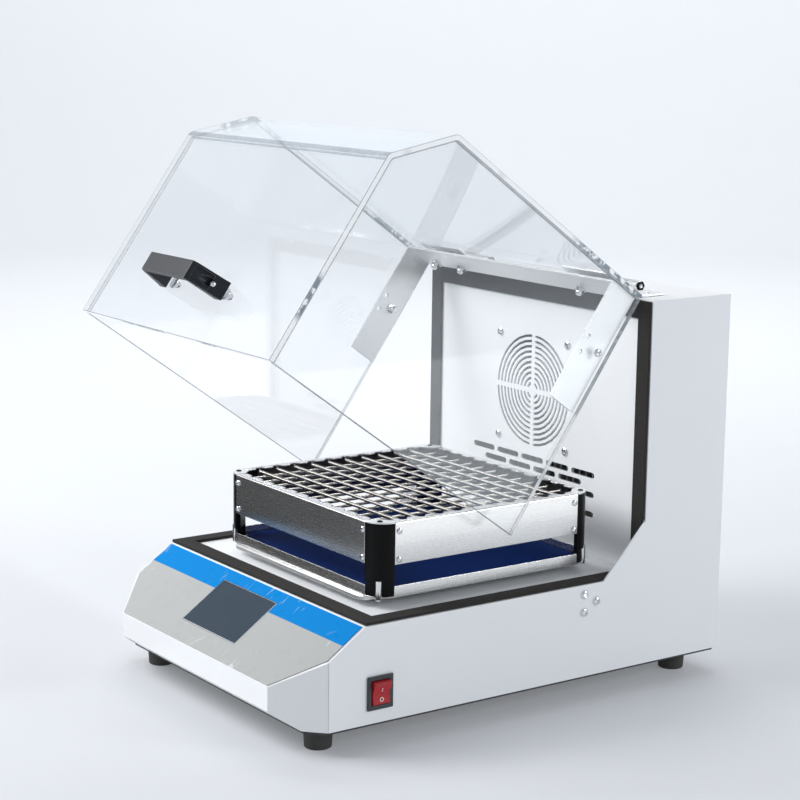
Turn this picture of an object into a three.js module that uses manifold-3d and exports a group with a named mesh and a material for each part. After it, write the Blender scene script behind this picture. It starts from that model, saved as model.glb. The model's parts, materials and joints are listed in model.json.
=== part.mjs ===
// Benchtop thermostatic orbital shaker with a hinged clear hood.
// Millimetres, +Z up, X to the operator's right, Y towards the back.
// The origin lies on the table, under the middle of the instrument with its hood open.
import * as THREE from "three";
import { mergeVertices } from "three/addons/utils/BufferGeometryUtils.js";
import Module from "manifold-3d";

const wasm = await Module();
wasm.setup();

// ---------------------------------------------------------------- driving dimensions
const GAP = 0.3; // air between pieces that touch
const HALF_WIDTH = 170; // half the housing's width
const SHEET = 2; // painted steel sheet

const SKIN_Z = 22; // lower edge of the housing skins
const DECK_Z = 110; // chamber floor
const COLUMN_TOP_Z = 368;
const COLUMN_Y = 154; // front face of the rear column
const BACK_Y = 252.4;
const DECK_FRONT_Y = -161.2; // upper edge of the sloping panel
const LIP_Y = -235.6; // foremost face
const LIP_TOP_Z = 59;
const LIP_BOTTOM_Z = 37;
const UNDERCUT_Y = -215; // where the undercut below the lip reaches the skin's lower edge
const FACET_Y = -198.5; // rear edge of the vertical corner facets
const FACET_WIDTH = 39;
const GUSSET_Y = 105; // the side panels' corner gusset
const GUSSET_Z = 160.6;

const GASKET_WIDTH = 17;
const GASKET_THICKNESS = 3;

const FAN = { x: -2, z: 258, size: 119.5, depth: 25, bore: 57, hub: 19 };
const GRILLE = { inner: 7.5, pitch: 5.25, slot: 2.6, rings: 10, spoke: 5 };
const VENT = { z: 189.3, rows: 5, rowPitch: 9.65, pitch: 39, length: 34.5, height: 5.8 };

const SCREEN = { width: 93.5, height: 54, low: 22 };
const SWITCH = { y: -146.4, z: 49.7, width: 26.3, height: 30.3, axisX: 171, tilt: 9 };
const INLET = { x: -105, z: 62, bezel: 6.6 };

const ORBIT = 10; // crank throw
const AXIS = { x: 0, y: -6 }; // main crank axis
const IDLERS = [
  { name: "left", x: -80, y: 64 },
  { name: "right", x: 80, y: -76 },
];
const MOTOR = { x: 95, y: 60, radius: 31 };
const PULLEY = { low: 68, high: 80, driven: 45, driver: 16 };
const WEB_Z = 92; // underside of the crank discs

const PLATFORM = { x: 128.7, y: 122.9, corner: 19 }; // half sizes and corner radius
const DRIVE_PLATE = { x: 111, y: 126.5, low: 116.2, high: 119.7 };
const TRAY = { low: 120, floor: 1.3, lip: 130.3, sheet: 1.2 };
const MAT = { low: 121.6, high: 123.8 };
const FRAME = { low: 149.8, high: 188.3, sheet: 1.5, flange: 11 };
const POST_Z = 133.6;
const SPRING = { pitch: 20, size: 3.2, upper: 183.2, lower: 179.6, short: 8.5 };

const HINGE = { y: 159, z: 379, x: 113, length: 66, barrel: 5 };
const OPEN_ANGLE = 35.4; // degrees the hood stands open at rest
const HOOD = { half: 166, front: -161, back: 150.7, low: 113.3, top: 366, sheet: 5 };
const CHAMFER = { y: 50, z: 53, bend: 9 };
const BRACKET = { front: 116, back: 148, low: 239, sheet: 2, holes: [304.5, 288.5] };
const HANDLE = { x: -3.5, z: 162.4, width: 17.8, reach: 34 };

// ---------------------------------------------------------------- materials
const steelPaint = { color: 0xeef0f2, roughness: 0.45, metalness: 0 };
const stainless = { color: 0xc4c6c8, roughness: 0.35, metalness: 1 };
const blackPlastic = { color: 0x1c1d20, roughness: 0.5, metalness: 0 };
const aluminium = { color: 0xc9cccd, roughness: 0.45, metalness: 1 };
const foam = { color: 0x3c3a39, roughness: 0.95, metalness: 0 };
const acrylic = { color: 0xf4f8fa, roughness: 0.05, metalness: 0, transparent: true, opacity: 0.25 };
const look = (settings) => new THREE.MeshStandardMaterial(settings);

// ---------------------------------------------------------------- solid helpers
// A three.js geometry as a manifold solid, with its shared corners merged.
function solid(geometry) {
  const bare = geometry.index ? geometry.toNonIndexed() : geometry.clone();
  bare.deleteAttribute("normal");
  bare.deleteAttribute("uv");
  const merged = mergeVertices(bare, 1e-4);
  return new wasm.Manifold(
    new wasm.Mesh({
      numProp: 3,
      vertProperties: merged.attributes.position.array,
      triVerts: new Uint32Array(merged.index.array),
    }),
  );
}

// A manifold solid as a three.js geometry.
function geometryOf(body) {
  const mesh = body.getMesh();
  const geometry = new THREE.BufferGeometry();
  geometry.setAttribute("position", new THREE.BufferAttribute(mesh.vertProperties, 3));
  geometry.setIndex(new THREE.BufferAttribute(mesh.triVerts, 1));
  geometry.computeVertexNormals();
  return geometry;
}

const join = (...bodies) => bodies.reduce((all, body) => all.add(body));
const cut = (body, ...tools) => tools.reduce((left, tool) => left.subtract(tool), body);

function box(x0, x1, y0, y1, z0, z1) {
  const geometry = new THREE.BoxGeometry(x1 - x0, y1 - y0, z1 - z0);
  geometry.translate((x0 + x1) / 2, (y0 + y1) / 2, (z0 + z1) / 2);
  return solid(geometry);
}

const shapeOf = (points) => new THREE.Shape(points.map(([u, v]) => new THREE.Vector2(u, v)));

// An outline extruded along w; the basis says which world axes u, v and w follow.
function prism(points, low, high, basis, holes = []) {
  const shape = Array.isArray(points) ? shapeOf(points) : points;
  shape.holes.push(...holes);
  const geometry = new THREE.ExtrudeGeometry(shape, {
    depth: high - low,
    bevelEnabled: false,
    curveSegments: 5,
  });
  geometry.translate(0, 0, low);
  if (basis) geometry.applyMatrix4(basis);
  return solid(geometry);
}

const X = new THREE.Vector3(1, 0, 0);
const Y = new THREE.Vector3(0, 1, 0);
const Z = new THREE.Vector3(0, 0, 1);
const sideways = new THREE.Matrix4().makeBasis(Y, Z, X); // outline (y, z), extruded along +X
const frontal = new THREE.Matrix4().makeBasis(X, Z, Y.clone().negate()); // outline (x, z), along -Y

const plan = (points, z0, z1, holes) => prism(points, z0, z1, null, holes);
const profile = (points, x0, x1, holes) => prism(points, x0, x1, sideways, holes);
const face = (points, y0, y1, holes) => prism(points, -y1, -y0, frontal, holes);

// A cylinder or cone standing on z0.
function post(radius, z0, z1, { x = 0, y = 0, top = radius, segments = 32 } = {}) {
  const geometry = new THREE.CylinderGeometry(top, radius, z1 - z0, segments);
  geometry.rotateX(Math.PI / 2);
  geometry.translate(x, y, (z0 + z1) / 2);
  return solid(geometry);
}

const tube = (outer, inner, z0, z1, at = {}) =>
  cut(post(outer, z0, z1, at), post(inner, z0 - 1, z1 + 1, at));

function circle(x, y, radius) {
  const path = new THREE.Path();
  path.absarc(x, y, radius, 0, 2 * Math.PI, true);
  return path;
}

// A convex outline, counterclockwise, with each edge moved inwards by its own distance.
function inset(points, distances) {
  const lines = points.map(([u, v], i) => {
    const [s, t] = points[(i + 1) % points.length];
    const length = Math.hypot(s - u, t - v);
    const normal = [-(t - v) / length, (s - u) / length];
    const reach = normal[0] * u + normal[1] * v + distances[i];
    return { normal, reach };
  });
  return lines.map((line, i) => {
    const before = lines[(i + lines.length - 1) % lines.length];
    const [a, b] = before.normal;
    const [c, d] = line.normal;
    const spread = a * d - b * c;
    return [
      (before.reach * d - line.reach * b) / spread,
      (line.reach * a - before.reach * c) / spread,
    ];
  });
}

// An outline with each listed corner rounded by a few short chords.
function rounded(points, radii, chords = 4) {
  return points.flatMap(([u, v], i) => {
    const radius = radii[i];
    if (!radius) return [[u, v]];
    const corner = new THREE.Vector2(u, v);
    const before = new THREE.Vector2(...points[(i + points.length - 1) % points.length]).sub(corner);
    const after = new THREE.Vector2(...points[(i + 1) % points.length]).sub(corner);
    const half = Math.acos(before.clone().normalize().dot(after.clone().normalize())) / 2;
    const reach = radius / Math.tan(half);
    const start = corner.clone().add(before.setLength(reach));
    const end = corner.clone().add(after.setLength(reach));
    const curve = new THREE.QuadraticBezierCurve(start, corner, end);
    return curve.getPoints(chords).map((p) => [p.x, p.y]);
  });
}

const radians = THREE.MathUtils.degToRad;
const mirror = (points) => points.map(([u, v]) => [-u, v]).reverse();

const root = new THREE.Group();

function add(name, body, settings, parent = root) {
  const mesh = new THREE.Mesh(geometryOf(body), look(settings));
  mesh.name = name;
  parent.add(mesh);
  return mesh;
}

// ---------------------------------------------------------------- housing
const slopeAngle = Math.atan2(DECK_Z - LIP_TOP_Z, DECK_FRONT_Y - LIP_Y);
const facetZ = LIP_TOP_Z + (FACET_Y - LIP_Y) * Math.tan(slopeAngle);
const slopeLength = Math.hypot(DECK_Z - LIP_TOP_Z, DECK_FRONT_Y - LIP_Y);
const innerHalf = HALF_WIDTH - SHEET - GAP; // what fits between the side panels

// The sloping front: u along X, v up the slope, w out of its face.
const slopeBasis = new THREE.Matrix4()
  .makeRotationX(slopeAngle)
  .setPosition(0, LIP_Y, LIP_TOP_Z);
const onSlope = (points, low, high, holes) => prism(points, low, high, slopeBasis, holes);

function rectangle(u0, u1, v0, v1) {
  return [[u0, v0], [u1, v0], [u1, v1], [u0, v1]];
}

const screenWindow = (clearance) =>
  rectangle(
    -SCREEN.width / 2 - clearance,
    SCREEN.width / 2 + clearance,
    SCREEN.low - clearance,
    SCREEN.low + SCREEN.height + clearance,
  );

function frontPanel() {
  const section = [
    [DECK_FRONT_Y, SKIN_Z],
    [DECK_FRONT_Y, DECK_Z],
    [LIP_Y, LIP_TOP_Z],
    [LIP_Y, LIP_BOTTOM_Z],
    [UNDERCUT_Y, SKIN_Z],
  ];
  const outline = [
    [-HALF_WIDTH, FACET_Y],
    [FACET_WIDTH - HALF_WIDTH, LIP_Y],
    [HALF_WIDTH - FACET_WIDTH, LIP_Y],
    [HALF_WIDTH, FACET_Y],
    [HALF_WIDTH, DECK_FRONT_Y],
    [-HALF_WIDTH, DECK_FRONT_Y],
  ];
  const open = -10; // an edge moved outwards leaves the shell open there
  const outer = profile(section, -HALF_WIDTH, HALF_WIDTH).intersect(plan(outline, 0, COLUMN_TOP_Z));
  const inner = profile(inset(section, [open, SHEET, SHEET, SHEET, open]), -HALF_WIDTH, HALF_WIDTH)
    .intersect(plan(inset(outline, [SHEET, SHEET, SHEET, SHEET, open, SHEET]), 0, COLUMN_TOP_Z));
  const besideSide = (sign) => {
    const [near, far] = [sign * innerHalf, sign * (HALF_WIDTH + 1)];
    return box(Math.min(near, far), Math.max(near, far), FACET_Y - GAP, 0, 0, COLUMN_TOP_Z);
  };
  const pane = onSlope(screenWindow(0.8), -10, 10);
  return cut(outer, inner, besideSide(-1), besideSide(1), pane);
}

const sideOutline = [
  [FACET_Y, SKIN_Z],
  [BACK_Y, SKIN_Z],
  [BACK_Y, COLUMN_TOP_Z],
  [COLUMN_Y, COLUMN_TOP_Z],
  [COLUMN_Y, GUSSET_Z],
  [GUSSET_Y, DECK_Z],
  [DECK_FRONT_Y, DECK_Z],
  [FACET_Y, facetZ],
];

function sidePanel(sign) {
  const inside = sign > 0 ? HALF_WIDTH - SHEET : -HALF_WIDTH;
  return profile(sideOutline, inside, inside + SHEET);
}

function switchCutout(clearance) {
  const [u, v] = [SWITCH.width / 2 - 1 + clearance, SWITCH.height / 2 - 1 + clearance];
  return rectangle(SWITCH.y - u, SWITCH.y + u, SWITCH.z - v, SWITCH.z + v);
}

function deckPlate() {
  const holes = [circle(AXIS.x, AXIS.y, ORBIT + 10)];
  for (const idler of IDLERS) holes.push(circle(idler.x, idler.y, ORBIT + 7));
  const outline = rectangle(-innerHalf, innerHalf, DECK_FRONT_Y + GAP, COLUMN_Y - GAP);
  return plan(outline, DECK_Z - SHEET, DECK_Z, holes);
}

// One curved slot of the fan grille, in one quadrant.
function grilleSlot(radius, quadrant) {
  const [inner, outer] = [radius - GRILLE.slot / 2, radius + GRILLE.slot / 2];
  const half = Math.asin(GRILLE.spoke / 2 / radius);
  const [from, to] = [quadrant * 90 * (Math.PI / 180) + half, (quadrant + 1) * (Math.PI / 2) - half];
  const chords = 3 + Math.round(radius / 12);
  const arc = (r) =>
    Array.from({ length: chords + 1 }, (_, i) => {
      const angle = from + ((to - from) * i) / chords;
      return new THREE.Vector2(FAN.x + r * Math.cos(angle), FAN.z + r * Math.sin(angle));
    });
  return new THREE.Path([...arc(outer), ...arc(inner).reverse()]);
}

// One round-ended air slot, centred on (x, z).
function ventSlot(x, z) {
  const [reach, radius] = [(VENT.length - VENT.height) / 2, VENT.height / 2];
  const path = new THREE.Path();
  path.absarc(x + reach, z, radius, -Math.PI / 2, Math.PI / 2);
  path.absarc(x - reach, z, radius, Math.PI / 2, (3 * Math.PI) / 2);
  path.closePath();
  return path;
}

function columnFrontPlate() {
  const holes = [];
  for (let ring = 0; ring < GRILLE.rings; ring++)
    for (let quadrant = 0; quadrant < 4; quadrant++)
      holes.push(grilleSlot(GRILLE.inner + ring * GRILLE.pitch, quadrant));
  for (let row = 0; row < VENT.rows; row++) {
    const count = row % 2 ? 4 : 5;
    for (let i = 0; i < count; i++)
      holes.push(ventSlot((i - (count - 1) / 2) * VENT.pitch, VENT.z - row * VENT.rowPitch));
  }
  const outline = rectangle(-innerHalf, innerHalf, DECK_Z - SHEET, COLUMN_TOP_Z - SHEET - GAP);
  return face(outline, COLUMN_Y, COLUMN_Y + SHEET, holes);
}

function backCover() {
  const section = [
    [COLUMN_Y, COLUMN_TOP_Z - SHEET],
    [BACK_Y - SHEET, COLUMN_TOP_Z - SHEET],
    [BACK_Y - SHEET, SKIN_Z],
    [BACK_Y, SKIN_Z],
    [BACK_Y, COLUMN_TOP_Z],
    [COLUMN_Y, COLUMN_TOP_Z],
  ];
  const inletHole = box(INLET.x - 14.5, INLET.x + 14.5, BACK_Y - 5, BACK_Y + 5, INLET.z - 11, INLET.z + 11);
  return profile(section, -innerHalf, innerHalf).subtract(inletHole);
}

function basePlate() {
  const half = HALF_WIDTH - 3;
  const corner = FACET_WIDTH - 4;
  const outline = [
    [-half, FACET_Y - 2],
    [-half + corner / 2, UNDERCUT_Y + 2],
    [half - corner / 2, UNDERCUT_Y + 2],
    [half, FACET_Y - 2],
    [half, BACK_Y - 3],
    [-half, BACK_Y - 3],
  ];
  return plan(outline, SKIN_Z - SHEET, SKIN_Z - GAP);
}

function foot(x, y) {
  const top = SKIN_Z - SHEET - GAP;
  const points = [[0, 0], [11.4, 0], [12.2, 0.8], [13.2, top - 1], [12.6, top], [0, top]];
  const geometry = new THREE.LatheGeometry(points.map((p) => new THREE.Vector2(...p)), 28);
  geometry.rotateX(Math.PI / 2);
  geometry.translate(x, y, 0);
  return solid(geometry);
}

// The foam strips stay clear of the gussets, which stand outside them.
function deckGasket() {
  const outer = HALF_WIDTH - 0.6;
  const beside = innerHalf - GAP;
  const inner = HALF_WIDTH - GASKET_WIDTH;
  const [front, back] = [DECK_FRONT_Y + 0.5, COLUMN_Y - GASKET_THICKNESS - GAP];
  const outline = [
    [-outer, front], [outer, front], [outer, GUSSET_Y - 1], [beside, GUSSET_Y - 1],
    [beside, back], [inner, back], [inner, front + GASKET_WIDTH],
    [-inner, front + GASKET_WIDTH], [-inner, back], [-beside, back],
    [-beside, GUSSET_Y - 1], [-outer, GUSSET_Y - 1],
  ];
  return plan(outline, DECK_Z + GAP, DECK_Z + GASKET_THICKNESS);
}

function columnGasket() {
  const outer = HALF_WIDTH - 0.6;
  const beside = innerHalf - GAP;
  const inner = HALF_WIDTH - GASKET_WIDTH;
  const [low, top] = [DECK_Z + GAP, COLUMN_TOP_Z - 1];
  const outline = [
    [inner, low], [beside, low], [beside, GUSSET_Z + 1], [outer, GUSSET_Z + 1], [outer, top],
    [-outer, top], [-outer, GUSSET_Z + 1], [-beside, GUSSET_Z + 1], [-beside, low],
    [-inner, low], [-inner, top - GASKET_WIDTH], [inner, top - GASKET_WIDTH],
  ];
  return face(outline, COLUMN_Y - GASKET_THICKNESS, COLUMN_Y - GAP);
}

add("front_panel", frontPanel(), steelPaint);
add("side_panel_left", sidePanel(-1), steelPaint);
add("side_panel_right", sidePanel(1).subtract(profile(switchCutout(GAP), 160, 180)), steelPaint);
add("deck_plate", deckPlate(), steelPaint);
add("column_front_plate", columnFrontPlate(), steelPaint);
add("back_cover", backCover(), steelPaint);
add("base_plate", basePlate(), { color: 0x3a3b3d, roughness: 0.7, metalness: 0.2 });
for (const [side, x] of [["left", -139.7], ["right", 139.7]])
  for (const [end, y] of [["front", -189.6], ["back", 221.1]])
    add(`foot_${end}_${side}`, foot(x, y), { color: 0x34332f, roughness: 0.8, metalness: 0 });
add("deck_gasket", deckGasket(), foam);
add("column_gasket", columnGasket(), foam);

// ---------------------------------------------------------------- controls
function panelOverlay() {
  const [top, middle] = [slopeLength - 1, (FACET_Y - LIP_Y) / Math.cos(slopeAngle) + 0.6];
  const half = innerHalf - 1;
  const low = HALF_WIDTH - FACET_WIDTH - 1;
  const outline = [[-low, 1], [low, 1], [half, middle], [half, top], [-half, top], [-half, middle]];
  return onSlope(outline, GAP, 0.9, [new THREE.Path(shapeOf(screenWindow(0.3)).getPoints())]);
}

// Glass that fills the window, on a wider module behind the sheet.
function touchScreen() {
  const glass = onSlope(screenWindow(0), -6, 1.1);
  const module = onSlope(screenWindow(5), -12, -SHEET - GAP);
  return join(glass, module);
}

function switchBezel() {
  const [flangeLow, flangeHigh] = [HALF_WIDTH + GAP, HALF_WIDTH + 2.2];
  const [u, v] = [SWITCH.width / 2, SWITCH.height / 2];
  const flange = profile(
    rectangle(SWITCH.y - u, SWITCH.y + u, SWITCH.z - v, SWITCH.z + v), flangeLow, flangeHigh);
  const body = profile(switchCutout(0), 150, flangeLow + 0.1);
  const well = profile(rectangle(SWITCH.y - 9.3, SWITCH.y + 9.3, SWITCH.z - 11.2, SWITCH.z + 11.2), 155, 180);
  return cut(join(flange, body), well);
}

// The rocker's ends are arcs about its own pivot, so it clears the bezel as it tips.
function switchRocker() {
  const [radius, back, tip, dip] = [10.6, -6, 4.6, 2.2];
  const start = Math.acos(back / radius);
  const end = Math.acos(tip / radius);
  const side = Array.from({ length: 6 }, (_, i) => {
    const angle = start + ((end - start) * i) / 5;
    return [radius * Math.cos(angle), radius * Math.sin(angle)];
  });
  const outline = [...mirrorUp(side), [dip, 0], ...[...side].reverse()];
  const body = prism(outline, -8.9, 8.9);
  return body;
}

function mirrorUp(points) {
  return points.map(([u, v]) => [u, -v]);
}

function powerInlet() {
  const { x, z } = INLET;
  const flange = face(rectangle(x - 24, x + 24, z - 13.5, z + 13.5), BACK_Y + GAP, BACK_Y + INLET.bezel);
  const body = face(rectangle(x - 14, x + 14, z - 10.5, z + 10.5), BACK_Y - 20, BACK_Y + 1);
  const recess = face(rectangle(x - 12, x + 12, z - 8.2, z + 8.2), BACK_Y - 16, BACK_Y + 2 * INLET.bezel);
  return cut(join(flange, body), recess);
}

add("panel_overlay", panelOverlay(), { color: 0xc6c5c3, roughness: 0.35, metalness: 0.1 });
add("touch_screen", touchScreen(), { color: 0x424e59, roughness: 0.15, metalness: 0 });
add("switch_bezel", switchBezel(), blackPlastic);
const rocker = add("switch_rocker", switchRocker(), { color: 0xc0202a, roughness: 0.3, metalness: 0 });
rocker.rotation.set(Math.PI / 2, 0, 0);
const rockerTilt = new THREE.Group();
rockerTilt.position.set(SWITCH.axisX, SWITCH.y, SWITCH.z);
rockerTilt.rotation.y = radians(SWITCH.tilt);
rockerTilt.add(rocker);
root.add(rockerTilt);
add("power_inlet", powerInlet(), blackPlastic);

// ---------------------------------------------------------------- fan and heater in the column
const fanLow = COLUMN_Y + SHEET + GAP;
const fanHigh = fanLow + FAN.depth;

// Everything on the fan's own axis is made along Z and then laid along +Y.
const layBack = new THREE.Group();
layBack.position.set(FAN.x, fanLow, FAN.z);
layBack.rotation.x = -Math.PI / 2;
root.add(layBack);

function fanFrame() {
  const half = FAN.size / 2;
  const bore = post(FAN.bore, -1, FAN.depth + 1, { segments: 40 });
  const shell = cut(box(-half, half, -half, half, 0, FAN.depth), bore);
  const disc = post(20, FAN.depth - 4, FAN.depth, { segments: 24 });
  const strut = (angle) => {
    const bar = box(15, FAN.bore + 1, -2, 2, FAN.depth - 4, FAN.depth);
    return bar.rotate([0, 0, angle]);
  };
  return join(shell, disc, ...[45, 135, 225, 315].map(strut));
}

function fanImpeller() {
  const hub = post(FAN.hub, 2, FAN.depth - 5, { segments: 28 });
  const blades = Array.from({ length: 7 }, (_, i) => {
    const blade = box(FAN.hub - 2, FAN.bore - 3, -0.9, 0.9, -9, 9);
    return blade.rotate([42, 0, 0]).translate([0, 0, FAN.depth / 2 - 1]).rotate([0, 0, (i * 360) / 7]);
  });
  return join(hub, ...blades);
}

function heater() {
  const back = box(-95, 95, 222, 226, 132, 188);
  const fins = Array.from({ length: 20 }, (_, i) => {
    const x = -93 + (i * 186) / 19;
    return box(x - 0.8, x + 0.8, 196, 223, 134, 186);
  });
  return join(back, ...fins);
}

function controlBoard() {
  const board = box(-150, -20, -150, -70, 40, 41.6);
  const transformer = box(-145, -105, -145, -105, 41, 66);
  const capacitors = [0, 1, 2].map((i) => post(6, 41, 60, { x: -90 + i * 16, y: -135, segments: 16 }));
  const connectors = [0, 1].map((i) => box(-92 + i * 34, -66 + i * 34, -88, -78, 41, 52));
  const standoffs = [[-146, -146], [-24, -146], [-24, -74], [-146, -74]].map(([x, y]) =>
    post(3, SKIN_Z, 40.5, { x, y, segments: 12 }));
  return join(board, transformer, ...capacitors, ...connectors, ...standoffs);
}

add("fan_frame", fanFrame(), blackPlastic, layBack);
add("fan_impeller", fanImpeller(), blackPlastic, layBack);
add("heater", heater(), aluminium);
add("control_board", controlBoard(), { color: 0x1d5a36, roughness: 0.6, metalness: 0 });
add("temperature_sensor", join(
  post(2.5, 196, 228, { x: 100, y: 175, segments: 16 }),
  box(94, 106, COLUMN_Y + SHEET + GAP, 176, 198, 204),
), stainless);

// ---------------------------------------------------------------- drive under the deck
const pin = { main: 6, idler: 4 };
const pinTop = DRIVE_PLATE.high - GAP;

function bearingHousing() {
  const at = { x: AXIS.x, y: AXIS.y };
  const flange = post(42, SKIN_Z, SKIN_Z + 6, at);
  const barrel = post(26, SKIN_Z + 5, PULLEY.low - 2, at);
  return cut(join(flange, barrel), post(8.5, SKIN_Z + 8, PULLEY.low, at));
}

function mainCrank() {
  const shaft = post(8, SKIN_Z + 9, WEB_Z + 1, AXIS);
  const web = post(23, WEB_Z, WEB_Z + 6, AXIS);
  const crankPin = post(pin.main, WEB_Z + 5, pinTop, { x: AXIS.x + ORBIT, y: AXIS.y });
  return join(shaft, web, crankPin);
}

function counterweight() {
  const spare = box(AXIS.x - 12, AXIS.x + 60, AXIS.y - 60, AXIS.y + 60, 80, 90);
  const blade = post(55, 82, 89, AXIS).subtract(spare);
  const hub = post(15, 82, 89, AXIS);
  return join(blade, hub).subtract(post(8.3, 80, 90, AXIS));
}

function idlerCrank({ x, y }) {
  const shaft = post(5, SKIN_Z + 34, WEB_Z, { x, y, segments: 24 });
  const web = post(17, WEB_Z - 1, WEB_Z + 5, { x, y });
  const crankPin = post(pin.idler, WEB_Z + 4, pinTop, { x: x + ORBIT, y, segments: 24 });
  return join(shaft, web, crankPin);
}

function idlerBearing({ x, y }) {
  const flange = post(22, SKIN_Z, SKIN_Z + 5, { x, y });
  const barrel = post(12, SKIN_Z + 4, WEB_Z - 3, { x, y });
  return cut(join(flange, barrel), post(5.4, SKIN_Z + 33, WEB_Z, { x, y, segments: 24 }));
}

function driveMotor() {
  const at = { x: MOTOR.x, y: MOTOR.y };
  const body = post(MOTOR.radius, SKIN_Z, 60, at);
  const boss = post(11, 59, 64, at);
  return cut(join(body, boss), post(4.4, 40, 65, { ...at, segments: 20 }));
}

// An open belt round two pulleys: its outline is made of two arcs and two tangents.
function beltLoop(extra) {
  const apart = Math.hypot(MOTOR.x - AXIS.x, MOTOR.y - AXIS.y);
  const heading = Math.atan2(MOTOR.y - AXIS.y, MOTOR.x - AXIS.x);
  const lean = Math.acos((PULLEY.driven - PULLEY.driver) / apart);
  const shape = new THREE.Path();
  shape.absarc(AXIS.x, AXIS.y, PULLEY.driven + extra, heading + lean, heading - lean + 2 * Math.PI);
  shape.absarc(MOTOR.x, MOTOR.y, PULLEY.driver + extra, heading - lean, heading + lean);
  return shape.getPoints(16).map((p) => [p.x, p.y]);
}

function driveBelt() {
  const hole = new THREE.Path(shapeOf(beltLoop(GAP)).getPoints());
  return plan(beltLoop(3), PULLEY.low + 1.5, PULLEY.high - 1.5, [hole]);
}

add("bearing_housing", bearingHousing(), { color: 0x8a8d90, roughness: 0.6, metalness: 0.8 });
add("main_crank", mainCrank(), stainless);
add("driven_pulley", tube(PULLEY.driven, 8.3, PULLEY.low, PULLEY.high, AXIS), aluminium);
add("counterweight", counterweight(), { color: 0x6b6e71, roughness: 0.6, metalness: 0.9 });
for (const idler of IDLERS) {
  add(`idler_crank_${idler.name}`, idlerCrank(idler), stainless);
  const iron = { color: 0x8a8d90, roughness: 0.6, metalness: 0.8 };
  add(`idler_bearing_${idler.name}`, idlerBearing(idler), iron);
}
add("drive_motor", driveMotor(), { color: 0x55585c, roughness: 0.5, metalness: 0.7 });
const motorAxis = { x: MOTOR.x, y: MOTOR.y, segments: 20 };
add("motor_shaft", post(4, 41, PULLEY.high + 1, motorAxis), stainless);
add("motor_pulley", tube(PULLEY.driver, 4.3, PULLEY.low, PULLEY.high, motorAxis), aluminium);
add("drive_belt", driveBelt(), { color: 0x1a1a1a, roughness: 0.9, metalness: 0 });

// ---------------------------------------------------------------- shaking platform
// Its own group is centred on the platform, which the crank holds off its axis.
const platform = new THREE.Group();
platform.position.set(AXIS.x + ORBIT, AXIS.y, 0);
root.add(platform);

const straightX = PLATFORM.x - PLATFORM.corner;
const straightY = PLATFORM.y - PLATFORM.corner;

// A rectangle with the platform's round corners, drawn in by the margin.
function platformOutline(margin) {
  const radius = PLATFORM.corner - margin;
  const corners = [[1, 1, 0], [-1, 1, 90], [-1, -1, 180], [1, -1, 270]];
  return corners.flatMap(([sx, sy, from]) =>
    Array.from({ length: 5 }, (_, i) => {
      const angle = radians(from + i * 22.5);
      return [sx * straightX + radius * Math.cos(angle), sy * straightY + radius * Math.sin(angle)];
    }));
}

function drivePlate() {
  const [u, v] = [DRIVE_PLATE.x, DRIVE_PLATE.y];
  const outline = rounded(rectangle(-u, u, -v, v), [10, 10, 10, 10]);
  const holes = [circle(0, 0, pin.main + 0.4)];
  for (const idler of IDLERS) holes.push(circle(idler.x - AXIS.x, idler.y - AXIS.y, pin.idler + 0.5));
  return plan(outline, DRIVE_PLATE.low, DRIVE_PLATE.high, holes);
}

function tray() {
  const floor = plan(platformOutline(0), TRAY.low, TRAY.low + TRAY.floor);
  const { x, y } = PLATFORM;
  const lips = [
    box(-straightX, straightX, -y, -y + TRAY.sheet, TRAY.low, TRAY.lip),
    box(-straightX, straightX, y - TRAY.sheet, y, TRAY.low, TRAY.lip),
    box(-x, -x + TRAY.sheet, -straightY, straightY, TRAY.low, TRAY.lip),
    box(x - TRAY.sheet, x, -straightY, straightY, TRAY.low, TRAY.lip),
  ];
  return join(floor, ...lips);
}

function trayMat() {
  const [u, v] = [PLATFORM.x - 1.6, PLATFORM.y - 1.6];
  const clip = 24; // leaves room for the posts' feet
  const outline = [
    [u - clip, -v], [u, -v + clip], [u, v - clip], [u - clip, v],
    [-u + clip, v], [-u, v - clip], [-u, -v + clip], [-u + clip, -v],
  ];
  return plan(outline, MAT.low, MAT.high);
}

// A corner post: a quarter column with two flanges behind the frame plates, on a curved foot.
// It is drawn for the corner at +X +Y and turned for the others by mirroring its outline.
function cornerPost(signX, signY) {
  const inward = FRAME.sheet + GAP;
  const flangeReach = 14;
  const flangeDepth = inward + 3;
  const r = PLATFORM.corner;
  const arc = (radius, chords) =>
    Array.from({ length: chords + 1 }, (_, i) => {
      const angle = (Math.PI / 2) * (i / chords);
      return [radius * Math.cos(angle), radius * Math.sin(angle)];
    });
  const flanges = [
    [-flangeReach, r - flangeDepth], [0, r - flangeDepth], [r - flangeDepth, 0],
    [r - flangeDepth, -flangeReach], [r - inward, -flangeReach], [r - inward, 0],
    [0, r - inward], [-flangeReach, r - inward],
  ];
  const column = [[0, r - flangeDepth], [r - flangeDepth, 0], ...arc(r, 8)];
  const foot = [...arc(17.5, 6), ...arc(14, 6).reverse()];
  const place = (points) => {
    const moved = points.map(([u, v]) => [signX * (straightX + u), signY * (straightY + v)]);
    return signX * signY > 0 ? moved : moved.reverse();
  };
  const top = FRAME.high - FRAME.sheet - GAP;
  return join(
    plan(place(column), POST_Z, top),
    plan(place(flanges), FRAME.low, top),
    plan(place(foot), TRAY.low + TRAY.floor + GAP, POST_Z + 0.5),
  );
}

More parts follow.
